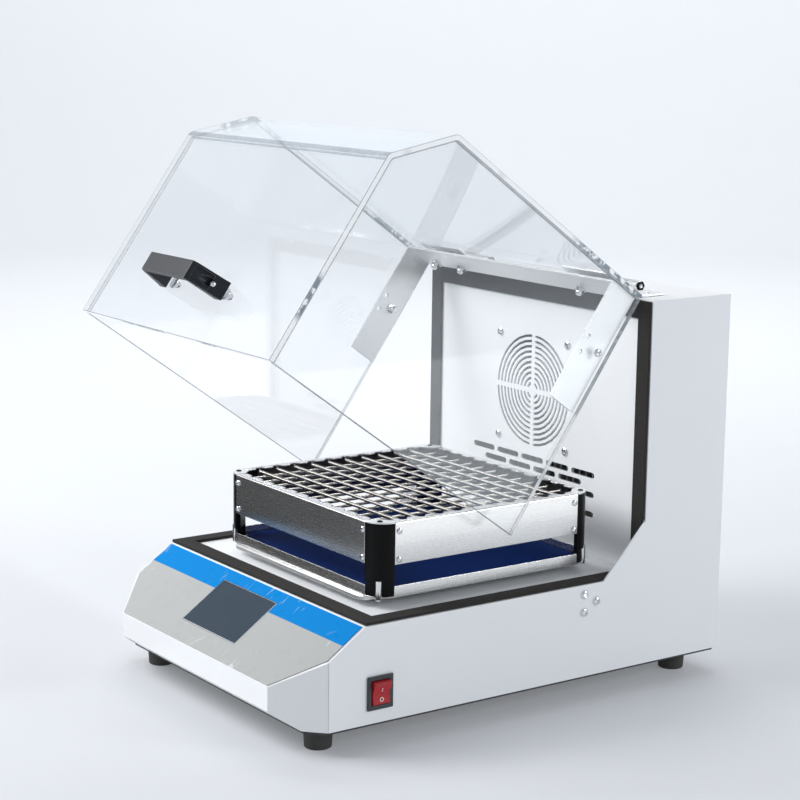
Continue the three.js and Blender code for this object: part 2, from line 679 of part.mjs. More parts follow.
// A frame plate: an upright sheet whose upper edge is folded inwards.
function framePlate(axis, sign) {
  const [half, reach] = axis === "x" ? [straightX, PLATFORM.y] : [straightY, PLATFORM.x];
  const run = half - GAP;
  const upright = (low, high) => [Math.min(low * sign, high * sign), Math.max(low * sign, high * sign)];
  const [w0, w1] = upright(reach - FRAME.sheet, reach);
  const [f0, f1] = upright(reach - FRAME.flange, reach);
  const along = (a, b, z0, z1) =>
    axis === "x" ? box(-run, run, a, b, z0, z1) : box(a, b, -run, run, z0, z1);
  return join(
    along(w0, w1, FRAME.low, FRAME.high),
    along(f0, f1, FRAME.high - FRAME.sheet, FRAME.high),
  );
}

// Springs laced to and fro in one run: straight lengths joined at alternate ends.
function springLace(positions, reach, z, alongX) {
  const half = SPRING.size / 2;
  const bar = (a0, a1, b0, b1) =>
    alongX ? box(a0, a1, b0, b1, z, z + SPRING.size) : box(b0, b1, a0, a1, z, z + SPRING.size);
  const runs = positions.map((p) => bar(-reach, reach, p - half, p + half));
  const links = positions.slice(1).map((p, i) => {
    const [from, to] = [positions[i] - half, p + half];
    return i % 2 ? bar(-reach, -reach + SPRING.size, from, to) : bar(reach - SPRING.size, reach, from, to);
  });
  return join(...runs, ...links);
}

const centred = (count, pitch) => Array.from({ length: count }, (_, i) => (i - (count - 1) / 2) * pitch);

add("drive_plate", drivePlate(), aluminium, platform);
add("tray", tray(), stainless, platform);
add("tray_mat", trayMat(), { color: 0x10265c, roughness: 0.85, metalness: 0 }, platform);
for (const [end, sy] of [["front", -1], ["back", 1]])
  for (const [side, sx] of [["left", -1], ["right", 1]])
    add(`corner_post_${end}_${side}`, cornerPost(sx, sy), blackPlastic, platform);
add("frame_plate_front", framePlate("x", -1), stainless, platform);
add("frame_plate_back", framePlate("x", 1), stainless, platform);
add("frame_plate_left", framePlate("y", -1), stainless, platform);
add("frame_plate_right", framePlate("y", 1), stainless, platform);

const longSprings = centred(10, SPRING.pitch);
for (const [i, half] of ["front", "back"].entries()) {
  const runs = longSprings.slice(5 * i, 5 * i + 5);
  const lace = springLace(runs, PLATFORM.x - SPRING.short, SPRING.upper, true);
  add(`long_springs_${half}`, lace, stainless, platform);
}
const crossSprings = centred(12, SPRING.pitch);
for (const [i, third] of ["left", "middle", "right"].entries()) {
  const runs = crossSprings.slice(4 * i, 4 * i + 4);
  const lace = springLace(runs, PLATFORM.y - SPRING.short, SPRING.lower, false);
  add(`cross_springs_${third}`, lace, stainless, platform);
}

// ---------------------------------------------------------------- hood
// Drawn closed, then turned back about the hinge line by the angle it stands open.
const hoodTurn = new THREE.Group();
hoodTurn.position.set(0, HINGE.y, HINGE.z);
hoodTurn.rotation.x = -radians(OPEN_ANGLE);
const hood = new THREE.Group();
hood.position.set(0, -HINGE.y, -HINGE.z);
hoodTurn.add(hood);
root.add(hoodTurn);

const hoodOutline = [
  [HOOD.back, HOOD.low],
  [HOOD.back, HOOD.top],
  [HOOD.front + CHAMFER.y, HOOD.top],
  [HOOD.front, HOOD.top - CHAMFER.z],
  [HOOD.front, HOOD.low],
];
const open = -10;

function hoodWrap() {
  const outer = rounded(hoodOutline, [0, 0, CHAMFER.bend, CHAMFER.bend, 0]);
  const inside = inset(hoodOutline, [open, HOOD.sheet, HOOD.sheet, HOOD.sheet, open]);
  const inner = rounded(inside, [0, 0, CHAMFER.bend - 4, CHAMFER.bend - 4, 0]);
  return profile(outer, -HOOD.half, HOOD.half).subtract(profile(inner, -HOOD.half - 1, HOOD.half + 1));
}

function hoodSide(sign) {
  const drawn = inset(hoodOutline, [0, HOOD.sheet + GAP, HOOD.sheet + GAP, HOOD.sheet + GAP, 0]);
  const outline = rounded(drawn, [0, 0, CHAMFER.bend - 4, CHAMFER.bend - 4, 0]);
  const inside = sign > 0 ? HOOD.half - HOOD.sheet : -HOOD.half;
  return profile(outline, inside, inside + HOOD.sheet);
}

// A flat strip bent down at both ends, inside the hood.
// A crossbar with an arm down each side, and two spare screw holes in each arm.
function hoodBracket() {
  const top = HOOD.top - HOOD.sheet - GAP;
  const outer = HOOD.half - HOOD.sheet - GAP;
  const inner = outer - BRACKET.sheet;
  const outline = [
    [-outer, BRACKET.low], [-inner, BRACKET.low], [-inner, top - BRACKET.sheet],
    [inner, top - BRACKET.sheet], [inner, BRACKET.low], [outer, BRACKET.low],
    [outer, top], [-outer, top],
  ];
  const holes = BRACKET.holes.map((z) => {
    const geometry = new THREE.CylinderGeometry(2.3, 2.3, 2 * HOOD.half, 20);
    geometry.rotateZ(Math.PI / 2);
    geometry.translate(0, BRACKET.front + 6, z);
    return solid(geometry);
  });
  return cut(face(outline, BRACKET.front, BRACKET.back), ...holes);
}

// A bridge handle: a flat grip on two leaning legs.
function hoodHandle() {
  const outer = [[54, GAP], [51, 5], [41, HANDLE.reach - 4], [37, HANDLE.reach]];
  const inner = [[36, HANDLE.reach - 5], [43, GAP]];
  const bridge = (points) => points.map(([u, v]) => [HANDLE.x + u, HOOD.front - v]);
  const outline = [...outer, ...mirror(outer), ...mirror(inner), ...inner];
  const low = HANDLE.z - HANDLE.width / 2;
  return plan(bridge(outline).reverse(), low, low + HANDLE.width);
}

// The two ends of a hinge along X, the lower one first.
function hingeEnds(sign) {
  const ends = [HINGE.x - HINGE.length / 2, HINGE.x + HINGE.length / 2];
  return ends.map((x) => sign * x).sort((a, b) => a - b);
}

const hingeBarrel = (x0, x1, radius) => {
  const geometry = new THREE.CylinderGeometry(radius, radius, x1 - x0, 24);
  geometry.rotateZ(Math.PI / 2);
  geometry.translate((x0 + x1) / 2, HINGE.y, HINGE.z);
  return solid(geometry);
};

// The fixed leaf lies on the column's top and carries the barrel between two moving knuckles.
function hingeBase(sign) {
  const [x0, x1] = hingeEnds(sign);
  const knuckle = 14;
  const top = COLUMN_TOP_Z + GAP;
  const leaf = box(x0, x1, HINGE.y + 1, HINGE.y + 31, top, top + 2.5);
  const riser = box(x0 + knuckle, x1 - knuckle, HINGE.y - 1, HINGE.y + 4, top + 1, HINGE.z);
  const barrel = hingeBarrel(x0 + knuckle, x1 - knuckle, HINGE.barrel);
  const spindle = hingeBarrel(x0 + 1, x1 - 1, 2.2);
  return join(leaf, riser, barrel, spindle);
}

function hingeLeaf(sign) {
  const [x0, x1] = hingeEnds(sign);
  const knuckle = 13.4;
  const low = HOOD.top + GAP;
  const leaf = box(x0, x1, BRACKET.front + 2, HOOD.back - 3, low, low + 2.5);
  const arms = [[x0, x0 + knuckle], [x1 - knuckle, x1]].map(([a, b]) =>
    join(
      profile([
        [HOOD.back - 9, low + 0.5], [HOOD.back - 3, low + 0.5],
        [HINGE.y + 1, HINGE.z - 4.5], [HINGE.y - 3, HINGE.z + 3],
      ], a, b),
      hingeBarrel(a, b, HINGE.barrel),
    ));
  return cut(join(leaf, ...arms), hingeBarrel(x0 - 1, x1 + 1, 2.6));
}

add("hood_wrap", hoodWrap(), acrylic, hood);
add("hood_side_left", hoodSide(-1), acrylic, hood);
add("hood_side_right", hoodSide(1), acrylic, hood);
add("hood_bracket", hoodBracket(), aluminium, hood);
add("hood_handle", hoodHandle(), { color: 0x3a3f45, roughness: 0.6, metalness: 0 }, hood);
add("hinge_leaf_left", hingeLeaf(-1), stainless, hood);
add("hinge_leaf_right", hingeLeaf(1), stainless, hood);
add("hinge_base_left", hingeBase(-1), stainless);
add("hinge_base_right", hingeBase(1), stainless);

export default root;
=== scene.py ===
"""Benchtop orbital shaker with a clear hinged hood: its looks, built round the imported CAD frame."""

import json
import math

import bmesh
import bpy
from mathutils import Matrix, Vector

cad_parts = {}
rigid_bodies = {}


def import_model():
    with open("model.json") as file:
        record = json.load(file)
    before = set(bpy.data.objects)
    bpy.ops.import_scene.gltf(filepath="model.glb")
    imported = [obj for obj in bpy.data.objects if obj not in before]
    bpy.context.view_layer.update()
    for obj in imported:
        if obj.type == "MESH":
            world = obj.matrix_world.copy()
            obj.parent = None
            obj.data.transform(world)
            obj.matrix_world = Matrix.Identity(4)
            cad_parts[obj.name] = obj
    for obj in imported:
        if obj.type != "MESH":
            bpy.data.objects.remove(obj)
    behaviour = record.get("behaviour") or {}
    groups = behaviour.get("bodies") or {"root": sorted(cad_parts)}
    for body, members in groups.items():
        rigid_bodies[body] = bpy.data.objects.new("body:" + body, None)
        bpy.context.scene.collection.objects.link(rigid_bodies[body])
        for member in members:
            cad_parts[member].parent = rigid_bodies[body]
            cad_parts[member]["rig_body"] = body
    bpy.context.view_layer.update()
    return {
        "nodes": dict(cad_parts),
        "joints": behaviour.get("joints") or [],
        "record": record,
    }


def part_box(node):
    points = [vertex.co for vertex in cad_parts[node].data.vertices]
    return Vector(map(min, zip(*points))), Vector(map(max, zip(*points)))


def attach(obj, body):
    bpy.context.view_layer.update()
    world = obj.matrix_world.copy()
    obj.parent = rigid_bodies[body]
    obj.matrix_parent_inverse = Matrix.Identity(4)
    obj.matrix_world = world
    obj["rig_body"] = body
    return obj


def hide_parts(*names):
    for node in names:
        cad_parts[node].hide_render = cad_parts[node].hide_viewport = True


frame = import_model()
nodes = frame["nodes"]
record = frame["record"]
joints = {joint["name"]: joint for joint in frame["joints"]}
slot_of = {part["node"]: part["material_slot"] for part in record["subparts"]}

MM = 0.001
X, Y, Z = Vector((1, 0, 0)), Vector((0, 1, 0)), Vector((0, 0, 1))


def lowest(node):
    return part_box(node)[0]


def highest(node):
    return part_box(node)[1]


# ------------------------------------------------------------------ camera
def add_camera(place, yaw, pitch, roll, lens):
    """Yaw turns the view from +Y towards -X, pitch looks down and roll turns the picture, in degrees."""
    yaw, pitch, roll = (math.radians(angle) for angle in (yaw, pitch, roll))
    ahead = Vector((-math.sin(yaw) * math.cos(pitch), math.cos(yaw) * math.cos(pitch), -math.sin(pitch)))
    level = Vector((math.cos(yaw), math.sin(yaw), 0))
    above = level.cross(ahead)
    right = level * math.cos(roll) + above * math.sin(roll)
    up = above * math.cos(roll) - level * math.sin(roll)
    camera = bpy.data.objects.new("camera", bpy.data.cameras.new("camera"))
    camera.data.lens = lens
    camera.data.clip_end = 30
    turn = Matrix((right, up, -ahead)).transposed().to_4x4()
    camera.matrix_world = Matrix.Translation(place) @ turn
    bpy.context.scene.collection.objects.link(camera)
    bpy.context.scene.camera = camera


add_camera(place=(1.5618, -1.1157, 0.622), yaw=54.66, pitch=10.576, roll=0.75, lens=92.65)


# ------------------------------------------------------------------ materials
def shade(color, factor):
    """The colour made lighter or darker, with full alpha."""
    return tuple(min(1.0, channel * factor) for channel in color) + (1.0,)


class Nodes:
    """A material's node tree, with the few node kinds that the materials here are made of."""

    def __init__(self, name):
        self.material = bpy.data.materials.new(name)
        self.material.use_nodes = True
        self.tree = self.material.node_tree
        self.shader = self.tree.nodes["Principled BSDF"]
        self.place = self.tree.nodes.new("ShaderNodeTexCoord").outputs["Object"]

    def put(self, kind, settings=None, **inputs):
        node = self.tree.nodes.new(kind)
        for key, value in (settings or {}).items():
            setattr(node, key, value)
        for key, value in inputs.items():
            self.feed(node.inputs[key.replace("_", " ")], value)
        return node

    def feed(self, socket, value):
        if isinstance(value, bpy.types.NodeSocket):
            self.tree.links.new(value, socket)
        else:
            socket.default_value = value

    def noise(self, scale, detail=3.0, stretch=(1, 1, 1)):
        place = self.put("ShaderNodeMapping", Vector=self.place, Scale=stretch).outputs["Vector"]
        return self.put("ShaderNodeTexNoise", Vector=place, Scale=scale, Detail=detail).outputs["Fac"]

    def mix(self, factor, first, second):
        node = self.put("ShaderNodeMix", {"data_type": "RGBA"})
        self.feed(node.inputs[0], factor)
        self.feed(node.inputs[6], first)
        self.feed(node.inputs[7], second)
        return node.outputs[2]

    def ramp(self, value, low, high, to_low=0.0, to_high=1.0):
        node = self.put("ShaderNodeMapRange", Value=value)
        for index, number in zip((1, 2, 3, 4), (low, high, to_low, to_high)):
            node.inputs[index].default_value = number
        return node.outputs["Result"]

    def times(self, first, second):
        node = self.put("ShaderNodeMath", {"operation": "MULTIPLY"})
        self.feed(node.inputs[0], first)
        self.feed(node.inputs[1], second)
        return node.outputs[0]

    def bump(self, height, strength, distance=0.1 * MM):
        node = self.put("ShaderNodeBump", Height=height, Strength=strength, Distance=distance)
        self.feed(self.shader.inputs["Normal"], node.outputs["Normal"])


def surface(name, color, roughness, metallic=0.0, mottle=0.05, gloss=0.06,
            grain=900, bump=0.15, stretch=(1, 1, 1), **sockets):
    """A Principled material whose colour, gloss and relief vary with noise of the given grain per metre."""
    tree = Nodes(name)
    coarse = tree.noise(9, 4)
    fine = tree.noise(grain, 3, stretch)
    tone = tree.put("ShaderNodeMath", {"operation": "ADD"})
    tree.feed(tone.inputs[0], tree.ramp(coarse, 0.3, 0.7, 0, 0.5))
    tree.feed(tone.inputs[1], tree.ramp(fine, 0.3, 0.7, 0, 0.5))
    tinted = tree.mix(tone.outputs[0], shade(color, 1 - mottle), shade(color, 1 + mottle))
    dull = tree.ramp(fine, 0.25, 0.75, roughness - gloss, roughness + gloss)
    tree.feed(tree.shader.inputs["Base Color"], tinted)
    tree.feed(tree.shader.inputs["Roughness"], dull)
    tree.shader.inputs["Metallic"].default_value = metallic
    for key, value in sockets.items():
        tree.shader.inputs[key.replace("_", " ")].default_value = value
    tree.bump(fine, bump)
    return tree.material


# The printed film, measured up its slope: where the blue band fades in and where the pale margin does.
BAND_EDGE = (63.3 * MM, 63.6 * MM)
MARGIN_EDGE = (87.6 * MM, 87.8 * MM)
SILVER_DARK, SILVER_LIGHT = (0.42, 0.43, 0.425, 1), (0.465, 0.475, 0.47, 1)
BAND_BLUE = (0.0, 0.225, 0.62, 1)
MARGIN_WHITE = (0.85, 0.9, 0.95, 1)
NICK_WHITE = (0.75, 0.78, 0.8, 1)
CREASE_WHITE = (0.93, 0.95, 0.97, 1)


def film_material():
    """Printed film: silver-grey with a blue band along its upper edge and pale creases towards its ends."""
    tree = Nodes("overlay_film")
    low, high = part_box("panel_overlay")
    slope = Vector((0, high.y - low.y, high.z - low.z))
    along = tree.put("ShaderNodeVectorMath", {"operation": "DOT_PRODUCT"})
    tree.feed(along.inputs[0], tree.place)
    along.inputs[1].default_value = slope.normalized()
    start = Vector((0, low.y, low.z)).dot(slope.normalized())
    climb = along.outputs["Value"]
    band = tree.ramp(climb, start + BAND_EDGE[0], start + BAND_EDGE[1])
    margin = tree.ramp(climb, start + MARGIN_EDGE[0], start + MARGIN_EDGE[1])
    split = tree.put("ShaderNodeSeparateXYZ", Vector=tree.place)
    off_centre = tree.put("ShaderNodeMath", {"operation": "ABSOLUTE"})
    tree.feed(off_centre.inputs[0], split.outputs["X"])
    ends = tree.ramp(off_centre.outputs[0], 0.05, 0.13, 0.25, 1)
    # Creases follow the middle level of a slow noise, so they run as long thin curves.
    swell = tree.put("ShaderNodeMath", {"operation": "SUBTRACT"})
    tree.feed(swell.inputs[0], tree.noise(17, 1.5, (1.0, 0.45, 0.45)))
    swell.inputs[1].default_value = 0.5
    distance = tree.put("ShaderNodeMath", {"operation": "ABSOLUTE"})
    tree.feed(distance.inputs[0], swell.outputs[0])
    crease = tree.ramp(distance.outputs[0], 0.002, 0.008, 1, 0)
    nicks = tree.ramp(tree.noise(420, 1, (1.0, 0.12, 0.12)), 0.68, 0.71)
    patches = tree.ramp(tree.noise(15, 2), 0.50, 0.58)
    for factor in (patches, ends):
        crease = tree.times(crease, factor)
        nicks = tree.times(nicks, factor)
    silver = tree.mix(tree.noise(2600, 2, (0.02, 1, 1)), SILVER_DARK, SILVER_LIGHT)
    printed = tree.mix(band, silver, BAND_BLUE)
    printed = tree.mix(margin, printed, MARGIN_WHITE)
    printed = tree.mix(nicks, printed, NICK_WHITE)
    tree.feed(tree.shader.inputs["Base Color"], tree.mix(crease, printed, CREASE_WHITE))
    tree.feed(tree.shader.inputs["Roughness"], tree.ramp(tree.noise(60, 3), 0.3, 0.7, 0.24, 0.38))
    tree.shader.inputs["Specular IOR Level"].default_value = 0.06
    tree.bump(tree.noise(30, 2), 0.06, 0.3 * MM)
    return tree.material


def clear_material(name, haze):
    """A clear acrylic face: see-through straight on, mirror-like at a glance, with a little haze."""
    tree = Nodes(name)
    facing_away = tree.put("ShaderNodeLayerWeight", Blend=0.5).outputs["Facing"]
    glance = tree.put("ShaderNodeMath", {"operation": "POWER"})
    tree.feed(glance.inputs[0], facing_away)
    glance.inputs[1].default_value = 5.0
    tree.feed(tree.shader.inputs["Alpha"], tree.ramp(glance.outputs[0], 0, 1, haze + 0.04, 0.95))
    tree.feed(tree.shader.inputs["Roughness"], tree.ramp(tree.noise(20, 3), 0.3, 0.7, 0.03, 0.06))
    tree.shader.inputs["Base Color"].default_value = (0.90, 0.96, 1.0, 1)
    tree.shader.inputs["Metallic"].default_value = 0.7
    return tree.material


MOTTLED_REACH = (0.095, 0.115)  # how far from the hinge the mottling fades out, in metres
MOTTLE_DARK, GLOW_DARK = (0.20, 0.245, 0.285, 1), (0.05, 0.07, 0.09, 1)


def rim_material(name, light, glow):
    """A cut acrylic edge of the given painted lightness and painted glow, mottled dark in stretches and all
    along near the hinge.
    """
    tree = Nodes(name)
    flat_place = tree.put("ShaderNodeVectorMath", {"operation": "MULTIPLY"})
    tree.feed(flat_place.inputs[0], tree.place)
    flat_place.inputs[1].default_value = (0, 1, 1)
    away = tree.put("ShaderNodeVectorMath", {"operation": "DISTANCE"})
    tree.feed(away.inputs[0], flat_place.outputs["Vector"])
    away.inputs[1].default_value = (0, *joints["hood_hinge"]["pos_m"][1:])
    near_hinge = tree.ramp(away.outputs["Value"], *MOTTLED_REACH, 1, 0)
    stretches = tree.ramp(tree.noise(11, 1), 0.60, 0.64)
    dark = tree.put("ShaderNodeMath", {"operation": "MAXIMUM"})
    tree.feed(dark.inputs[0], near_hinge)
    tree.feed(dark.inputs[1], stretches)
    mottle = tree.ramp(tree.noise(130, 3), 0.40, 0.50)
    factor = tree.times(dark.outputs[0], mottle)
    tone = tree.mix(factor, shade((0.96, 0.98, 1.0), light), MOTTLE_DARK)
    tree.feed(tree.shader.inputs["Base Color"], tone)
    # The emission is a painted glow, white along the edge and dark where the mottle is.
    tree.feed(tree.shader.inputs["Emission Color"], tree.mix(factor, (1, 1, 1, 1), GLOW_DARK))
    tree.shader.inputs["Emission Strength"].default_value = glow
    tree.feed(tree.shader.inputs["Roughness"], tree.ramp(tree.noise(260, 2), 0.3, 0.7, 0.1, 0.2))
    tree.shader.inputs["Alpha"].default_value = 0.88
    return tree.material


def foam_material():
    """Open-celled dark foam."""
    tree = Nodes("gasket_foam")
    cells = tree.put("ShaderNodeTexVoronoi", Vector=tree.place, Scale=1500.0).outputs["Distance"]
    tone = tree.mix(tree.noise(700, 4), (0.020, 0.018, 0.017, 1), (0.045, 0.042, 0.040, 1))
    tree.feed(tree.shader.inputs["Base Color"], tone)
    tree.shader.inputs["Roughness"].default_value = 0.93
    tree.shader.inputs["Specular IOR Level"].default_value = 0.25
    tree.bump(cells, 0.5, 0.25 * MM)
    return tree.material


BRUSH = 0.03  # how slowly a brushed grain changes along its own direction

look = {
    "housing_paint": surface("housing_paint", (0.87, 0.885, 0.90), 0.36,
                             grain=1500, bump=0.06, mottle=0.012, gloss=0.04),
    "base_paint": surface("base_paint", (0.04, 0.041, 0.043), 0.55, grain=1400),
    "foot_rubber": surface("foot_rubber", (0.045, 0.044, 0.04), 0.72, grain=1100, bump=0.35, mottle=0.2),
    "gasket_foam": foam_material(),
    "overlay_film": film_material(),
    "screen_glass": surface("screen_glass", (0.035, 0.054, 0.074), 0.2,
                            grain=60, bump=0.01, gloss=0.03, Specular_IOR_Level=0.25),
    "black_plastic": surface("black_plastic", (0.006, 0.006, 0.006), 0.3,
                             grain=1800, bump=0.15, mottle=0.15, Specular_IOR_Level=0.1),
    "rocker_plastic": surface("rocker_plastic", (0.42, 0.010, 0.016), 0.28,
                              grain=500, bump=0.01, mottle=0.02, gloss=0.02),
    "handle_plastic": surface("handle_plastic", (0.017, 0.020, 0.024), 0.34,
                              grain=1900, bump=0.3, mottle=0.12, Specular_IOR_Level=0.3),
    "aluminium": surface("aluminium", (0.86, 0.87, 0.87), 0.42, 1.0,
                         grain=900, stretch=(1, BRUSH, 1), bump=0.12),
    "stainless": surface("stainless", (0.80, 0.80, 0.795), 0.27, 1.0,
                         grain=1200, stretch=(BRUSH, BRUSH, 1), bump=0.012, gloss=0.02, mottle=0.045),
    "spring_steel": surface("spring_steel", (0.60, 0.58, 0.55), 0.18, 1.0, grain=700, bump=0.03, mottle=0.03),
    "turned_steel": surface("turned_steel", (0.62, 0.63, 0.64), 0.28, 1.0,
                            grain=900, stretch=(BRUSH, BRUSH, 1)),
    "motor_steel": surface("motor_steel", (0.09, 0.095, 0.10), 0.5, 0.3, grain=800),
    "cast_iron": surface("cast_iron", (0.20, 0.205, 0.21), 0.6, 0.6, grain=500, bump=0.5, mottle=0.2),
    "belt_rubber": surface("belt_rubber", (0.015, 0.015, 0.015), 0.85, grain=900, bump=0.4),
    "board": surface("board", (0.01, 0.10, 0.04), 0.45, grain=1200, mottle=0.2),
    "mat_rubber": surface("mat_rubber", (0.0015, 0.017, 0.105), 0.7,
                          grain=1300, bump=0.3, mottle=0.14, Specular_IOR_Level=0.04),
    "acrylic": clear_material("acrylic", 0.015),
}
acrylic_side = clear_material("acrylic_side", 0.055)
# Both rims are painted light: the wrap's edges lit and glowing, the side walls' edges shaded darker.
acrylic_rim_painted_light = rim_material("acrylic_rim_painted_light", 0.88, 0.20)
acrylic_side_rim_painted_light = rim_material("acrylic_side_rim_painted_light", 0.42, 0.03)
# Painted shade: a dark grey line on the clear walls' broken edges.
acrylic_line_painted_shade = surface("acrylic_line_painted_shade", (0.24, 0.27, 0.30), 0.2, grain=200, bump=0.0, mottle=0.3, Alpha=0.85)
# Painted shade: a grey line along the clear wrap's rounded fold.
acrylic_bend_painted_shade = surface("acrylic_bend_painted_shade", (0.26, 0.30, 0.34), 0.12, grain=60, bump=0.0, mottle=0.4, Alpha=0.6)
# Painted shade: a dark steel for the inner sides of the platform plates, where the frame is in shadow.
plate_inside_painted_shade = surface("plate_inside_painted_shade", (0.07, 0.068, 0.065), 0.4, 0.8, grain=900, bump=0.05)
chrome = surface("chrome", (0.83, 0.84, 0.85), 0.14, 1.0, grain=400, bump=0.02, mottle=0.04)
aluminium_cut = surface("aluminium_cut", (0.40, 0.41, 0.42), 0.5, 1.0, grain=1400)
bezel_plastic = surface("bezel_plastic", (0.035, 0.038, 0.042), 0.35, grain=1800, mottle=0.12)
# Painted highlight: a paler grey on the handle's broken edges.
handle_edge_painted_highlight = surface("handle_edge_painted_highlight", (0.16, 0.175, 0.19), 0.3, grain=1900, mottle=0.12)
# Painted highlight: a pale grey line on the screen's broken edges.
screen_edge_painted_highlight = surface("screen_edge_painted_highlight", (0.62, 0.66, 0.70), 0.3, grain=900)
white_ink = surface("white_ink", (0.86, 0.82, 0.80), 0.5, grain=1500)


# ------------------------------------------------------------------ pieces
def add_piece(name, mesh, body, materials, slot, bevel=0.0, segments=2, replaces=()):
    """A visible piece that rides a body, its sharp edges broken by the bevel given in millimetres."""
    piece = bpy.data.objects.new(name, mesh)
    for material in materials:
        mesh.materials.append(material)
    bpy.context.scene.collection.objects.link(piece)
    if bevel:
        edges = piece.modifiers.new("edges", "BEVEL")
        edges.width = bevel * MM
        edges.segments = segments
        edges.limit_method = "ANGLE"
        edges.angle_limit = math.radians(32)
        edges.harden_normals = True
    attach(piece, body)
    if replaces:
        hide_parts(*replaces)
    return piece


def to_mesh(name, form, sharp=32):
    """A mesh from a bmesh, smooth but for the edges sharper than the angle given in degrees."""
    bmesh.ops.recalc_face_normals(form, faces=form.faces)
    for face in form.faces:
        face.smooth = True
    for edge in form.edges:
        edge.smooth = len(edge.link_faces) != 2 or edge.calc_face_angle() < math.radians(sharp)
    mesh = bpy.data.meshes.new(name)
    form.to_mesh(mesh)
    form.free()
    return mesh


def finish_node(node, bevel=0.5, segments=2, rim=None, faces=None, is_rim=None, line=None,
                bend=None, is_bend=None, hem=0.0, pockets=()):
    """The CAD node's own shape with its flat faces whole and its edges broken.

    Faces is the material of the plain faces, rim and bend are those of the faces that is_rim and is_bend
    pick out, and line is that of the broken edges. Hem is how far the underside is drawn down, and the
    pockets are forms to be cut out.
    """
    form = bmesh.new()
    form.from_mesh(nodes[node].data)
    bmesh.ops.remove_doubles(form, verts=form.verts, dist=0.01 * MM)
    bmesh.ops.dissolve_limit(form, angle_limit=math.radians(0.4), verts=form.verts, edges=form.edges)
    for pocket in pockets:
        form = carve(form, pocket)
    underside = min(vert.co.z for vert in form.verts)
    for vert in form.verts:
        if hem and vert.co.z < underside + 0.1 * MM:
            vert.co.z -= hem
    form.normal_update()
    for face in form.faces:
        face.material_index = int(bool(is_rim and is_rim(face)))
        if bend and not face.material_index and is_bend(face):
            face.material_index = 3
    mesh = to_mesh(node + "_finish", form)
    if "custom_normal" in mesh.attributes:
        mesh.attributes.remove(mesh.attributes["custom_normal"])
    slot = slot_of[node]
    plain = faces or look[slot]
    materials = [plain, rim or plain, line or plain, bend or plain]
    body = nodes[node]["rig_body"]
    piece = add_piece(node + "_finish", mesh, body, materials, slot, bevel, segments, [node])
    if line:
        piece.modifiers["edges"].material = 2
    return piece


def circle_points(radius, count):
    angles = [2 * math.pi * i / count for i in range(count)]
    return [(radius * math.cos(angle), radius * math.sin(angle)) for angle in angles]


def revolve(profile, steps=24):
    """A closed body of revolution about Z from (radius, height) pairs that start and end on the axis."""
    form = bmesh.new()
    rings = []
    for radius, height in profile:
        around = circle_points(radius, steps) if radius else [(0, 0)]
        rings.append([form.verts.new((x, y, height)) for x, y in around])
    for below, above in zip(rings, rings[1:]):
        for i in range(steps):
            j = (i + 1) % steps
            corners = [below[i % len(below)], below[j % len(below)]]
            corners += [above[j % len(above)], above[i % len(above)]]
            form.faces.new(list(dict.fromkeys(corners)))
    return form


def extrude(outline, low, high):
    """A flat outline in XY, extruded from low to high."""
    form = bmesh.new()
    face = form.faces.new([form.verts.new((x, y, low)) for x, y in outline])
    lifted = bmesh.ops.extrude_face_region(form, geom=[face])["geom"]
    raised = [item for item in lifted if isinstance(item, bmesh.types.BMVert)]
    bmesh.ops.translate(form, verts=raised, vec=(0, 0, high - low))
    bmesh.ops.recalc_face_normals(form, faces=form.faces)
    return form


def carve(body, cutter):
    """The body form less the cutter form, as a new form; both are used up."""
    things = []
    for form in (body, cutter):
        mesh = bpy.data.meshes.new("carving")
        form.to_mesh(mesh)
        form.free()
        thing = bpy.data.objects.new("carving", mesh)
        bpy.context.scene.collection.objects.link(thing)
        things.append(thing)
    cut = things[0].modifiers.new("cut", "BOOLEAN")
    cut.operation = "DIFFERENCE"
    cut.solver = "EXACT"
    cut.object = things[1]
    bpy.context.view_layer.update()
    graph = bpy.context.evaluated_depsgraph_get()
    result = bmesh.new()
    result.from_mesh(things[0].evaluated_get(graph).to_mesh())
    for thing in things:
        mesh = thing.data
        bpy.data.objects.remove(thing)
        bpy.data.meshes.remove(mesh)
    return result


def facing(direction, spin=0.0):
    """The turn that points a form's Z along the direction."""
    direction = Vector(direction).normalized()
    return direction.to_track_quat("Z", "Y").to_matrix().to_4x4() @ Matrix.Rotation(spin, 4, "Z")


def copies(form, places):
    """One form repeated at each of the matrices."""
    model = bpy.data.meshes.new("model")
    form.to_mesh(model)
    form.free()
    result = bmesh.new()
    for place in places:
        before = len(result.verts)
        result.from_mesh(model)
        result.verts.ensure_lookup_table()
        bmesh.ops.transform(result, matrix=place, verts=result.verts[before:])
    bpy.data.meshes.remove(model)
    return result


def pan_head(radius, height):
    """A domed screw head with a cross recess."""
    dome = [(0, 0), (radius * 0.96, 0), (radius, height * 0.25), (radius * 0.93, height * 0.6),
            (radius * 0.72, height * 0.88), (radius * 0.4, height * 0.98), (0, height)]
    head = revolve(dome, 28)
    arm, half, deep = radius * 0.58, radius * 0.13, height * 0.35
    cross = [(arm, -half), (arm, half), (half, half), (half, arm), (-half, arm), (-half, half),
             (-arm, half), (-arm, -half), (-half, -half), (-half, -arm), (half, -arm), (half, -half)]
    return carve(head, extrude(cross, deep, height * 1.5))


def socket_head(radius, height):
    """A low round head with a hexagonal socket."""
    head = revolve([(0, 0), (radius, 0), (radius, height * 0.55), (radius * 0.8, height), (0, height)], 28)
    return carve(head, extrude(circle_points(radius * 0.45, 6), height * 0.3, height * 1.5))


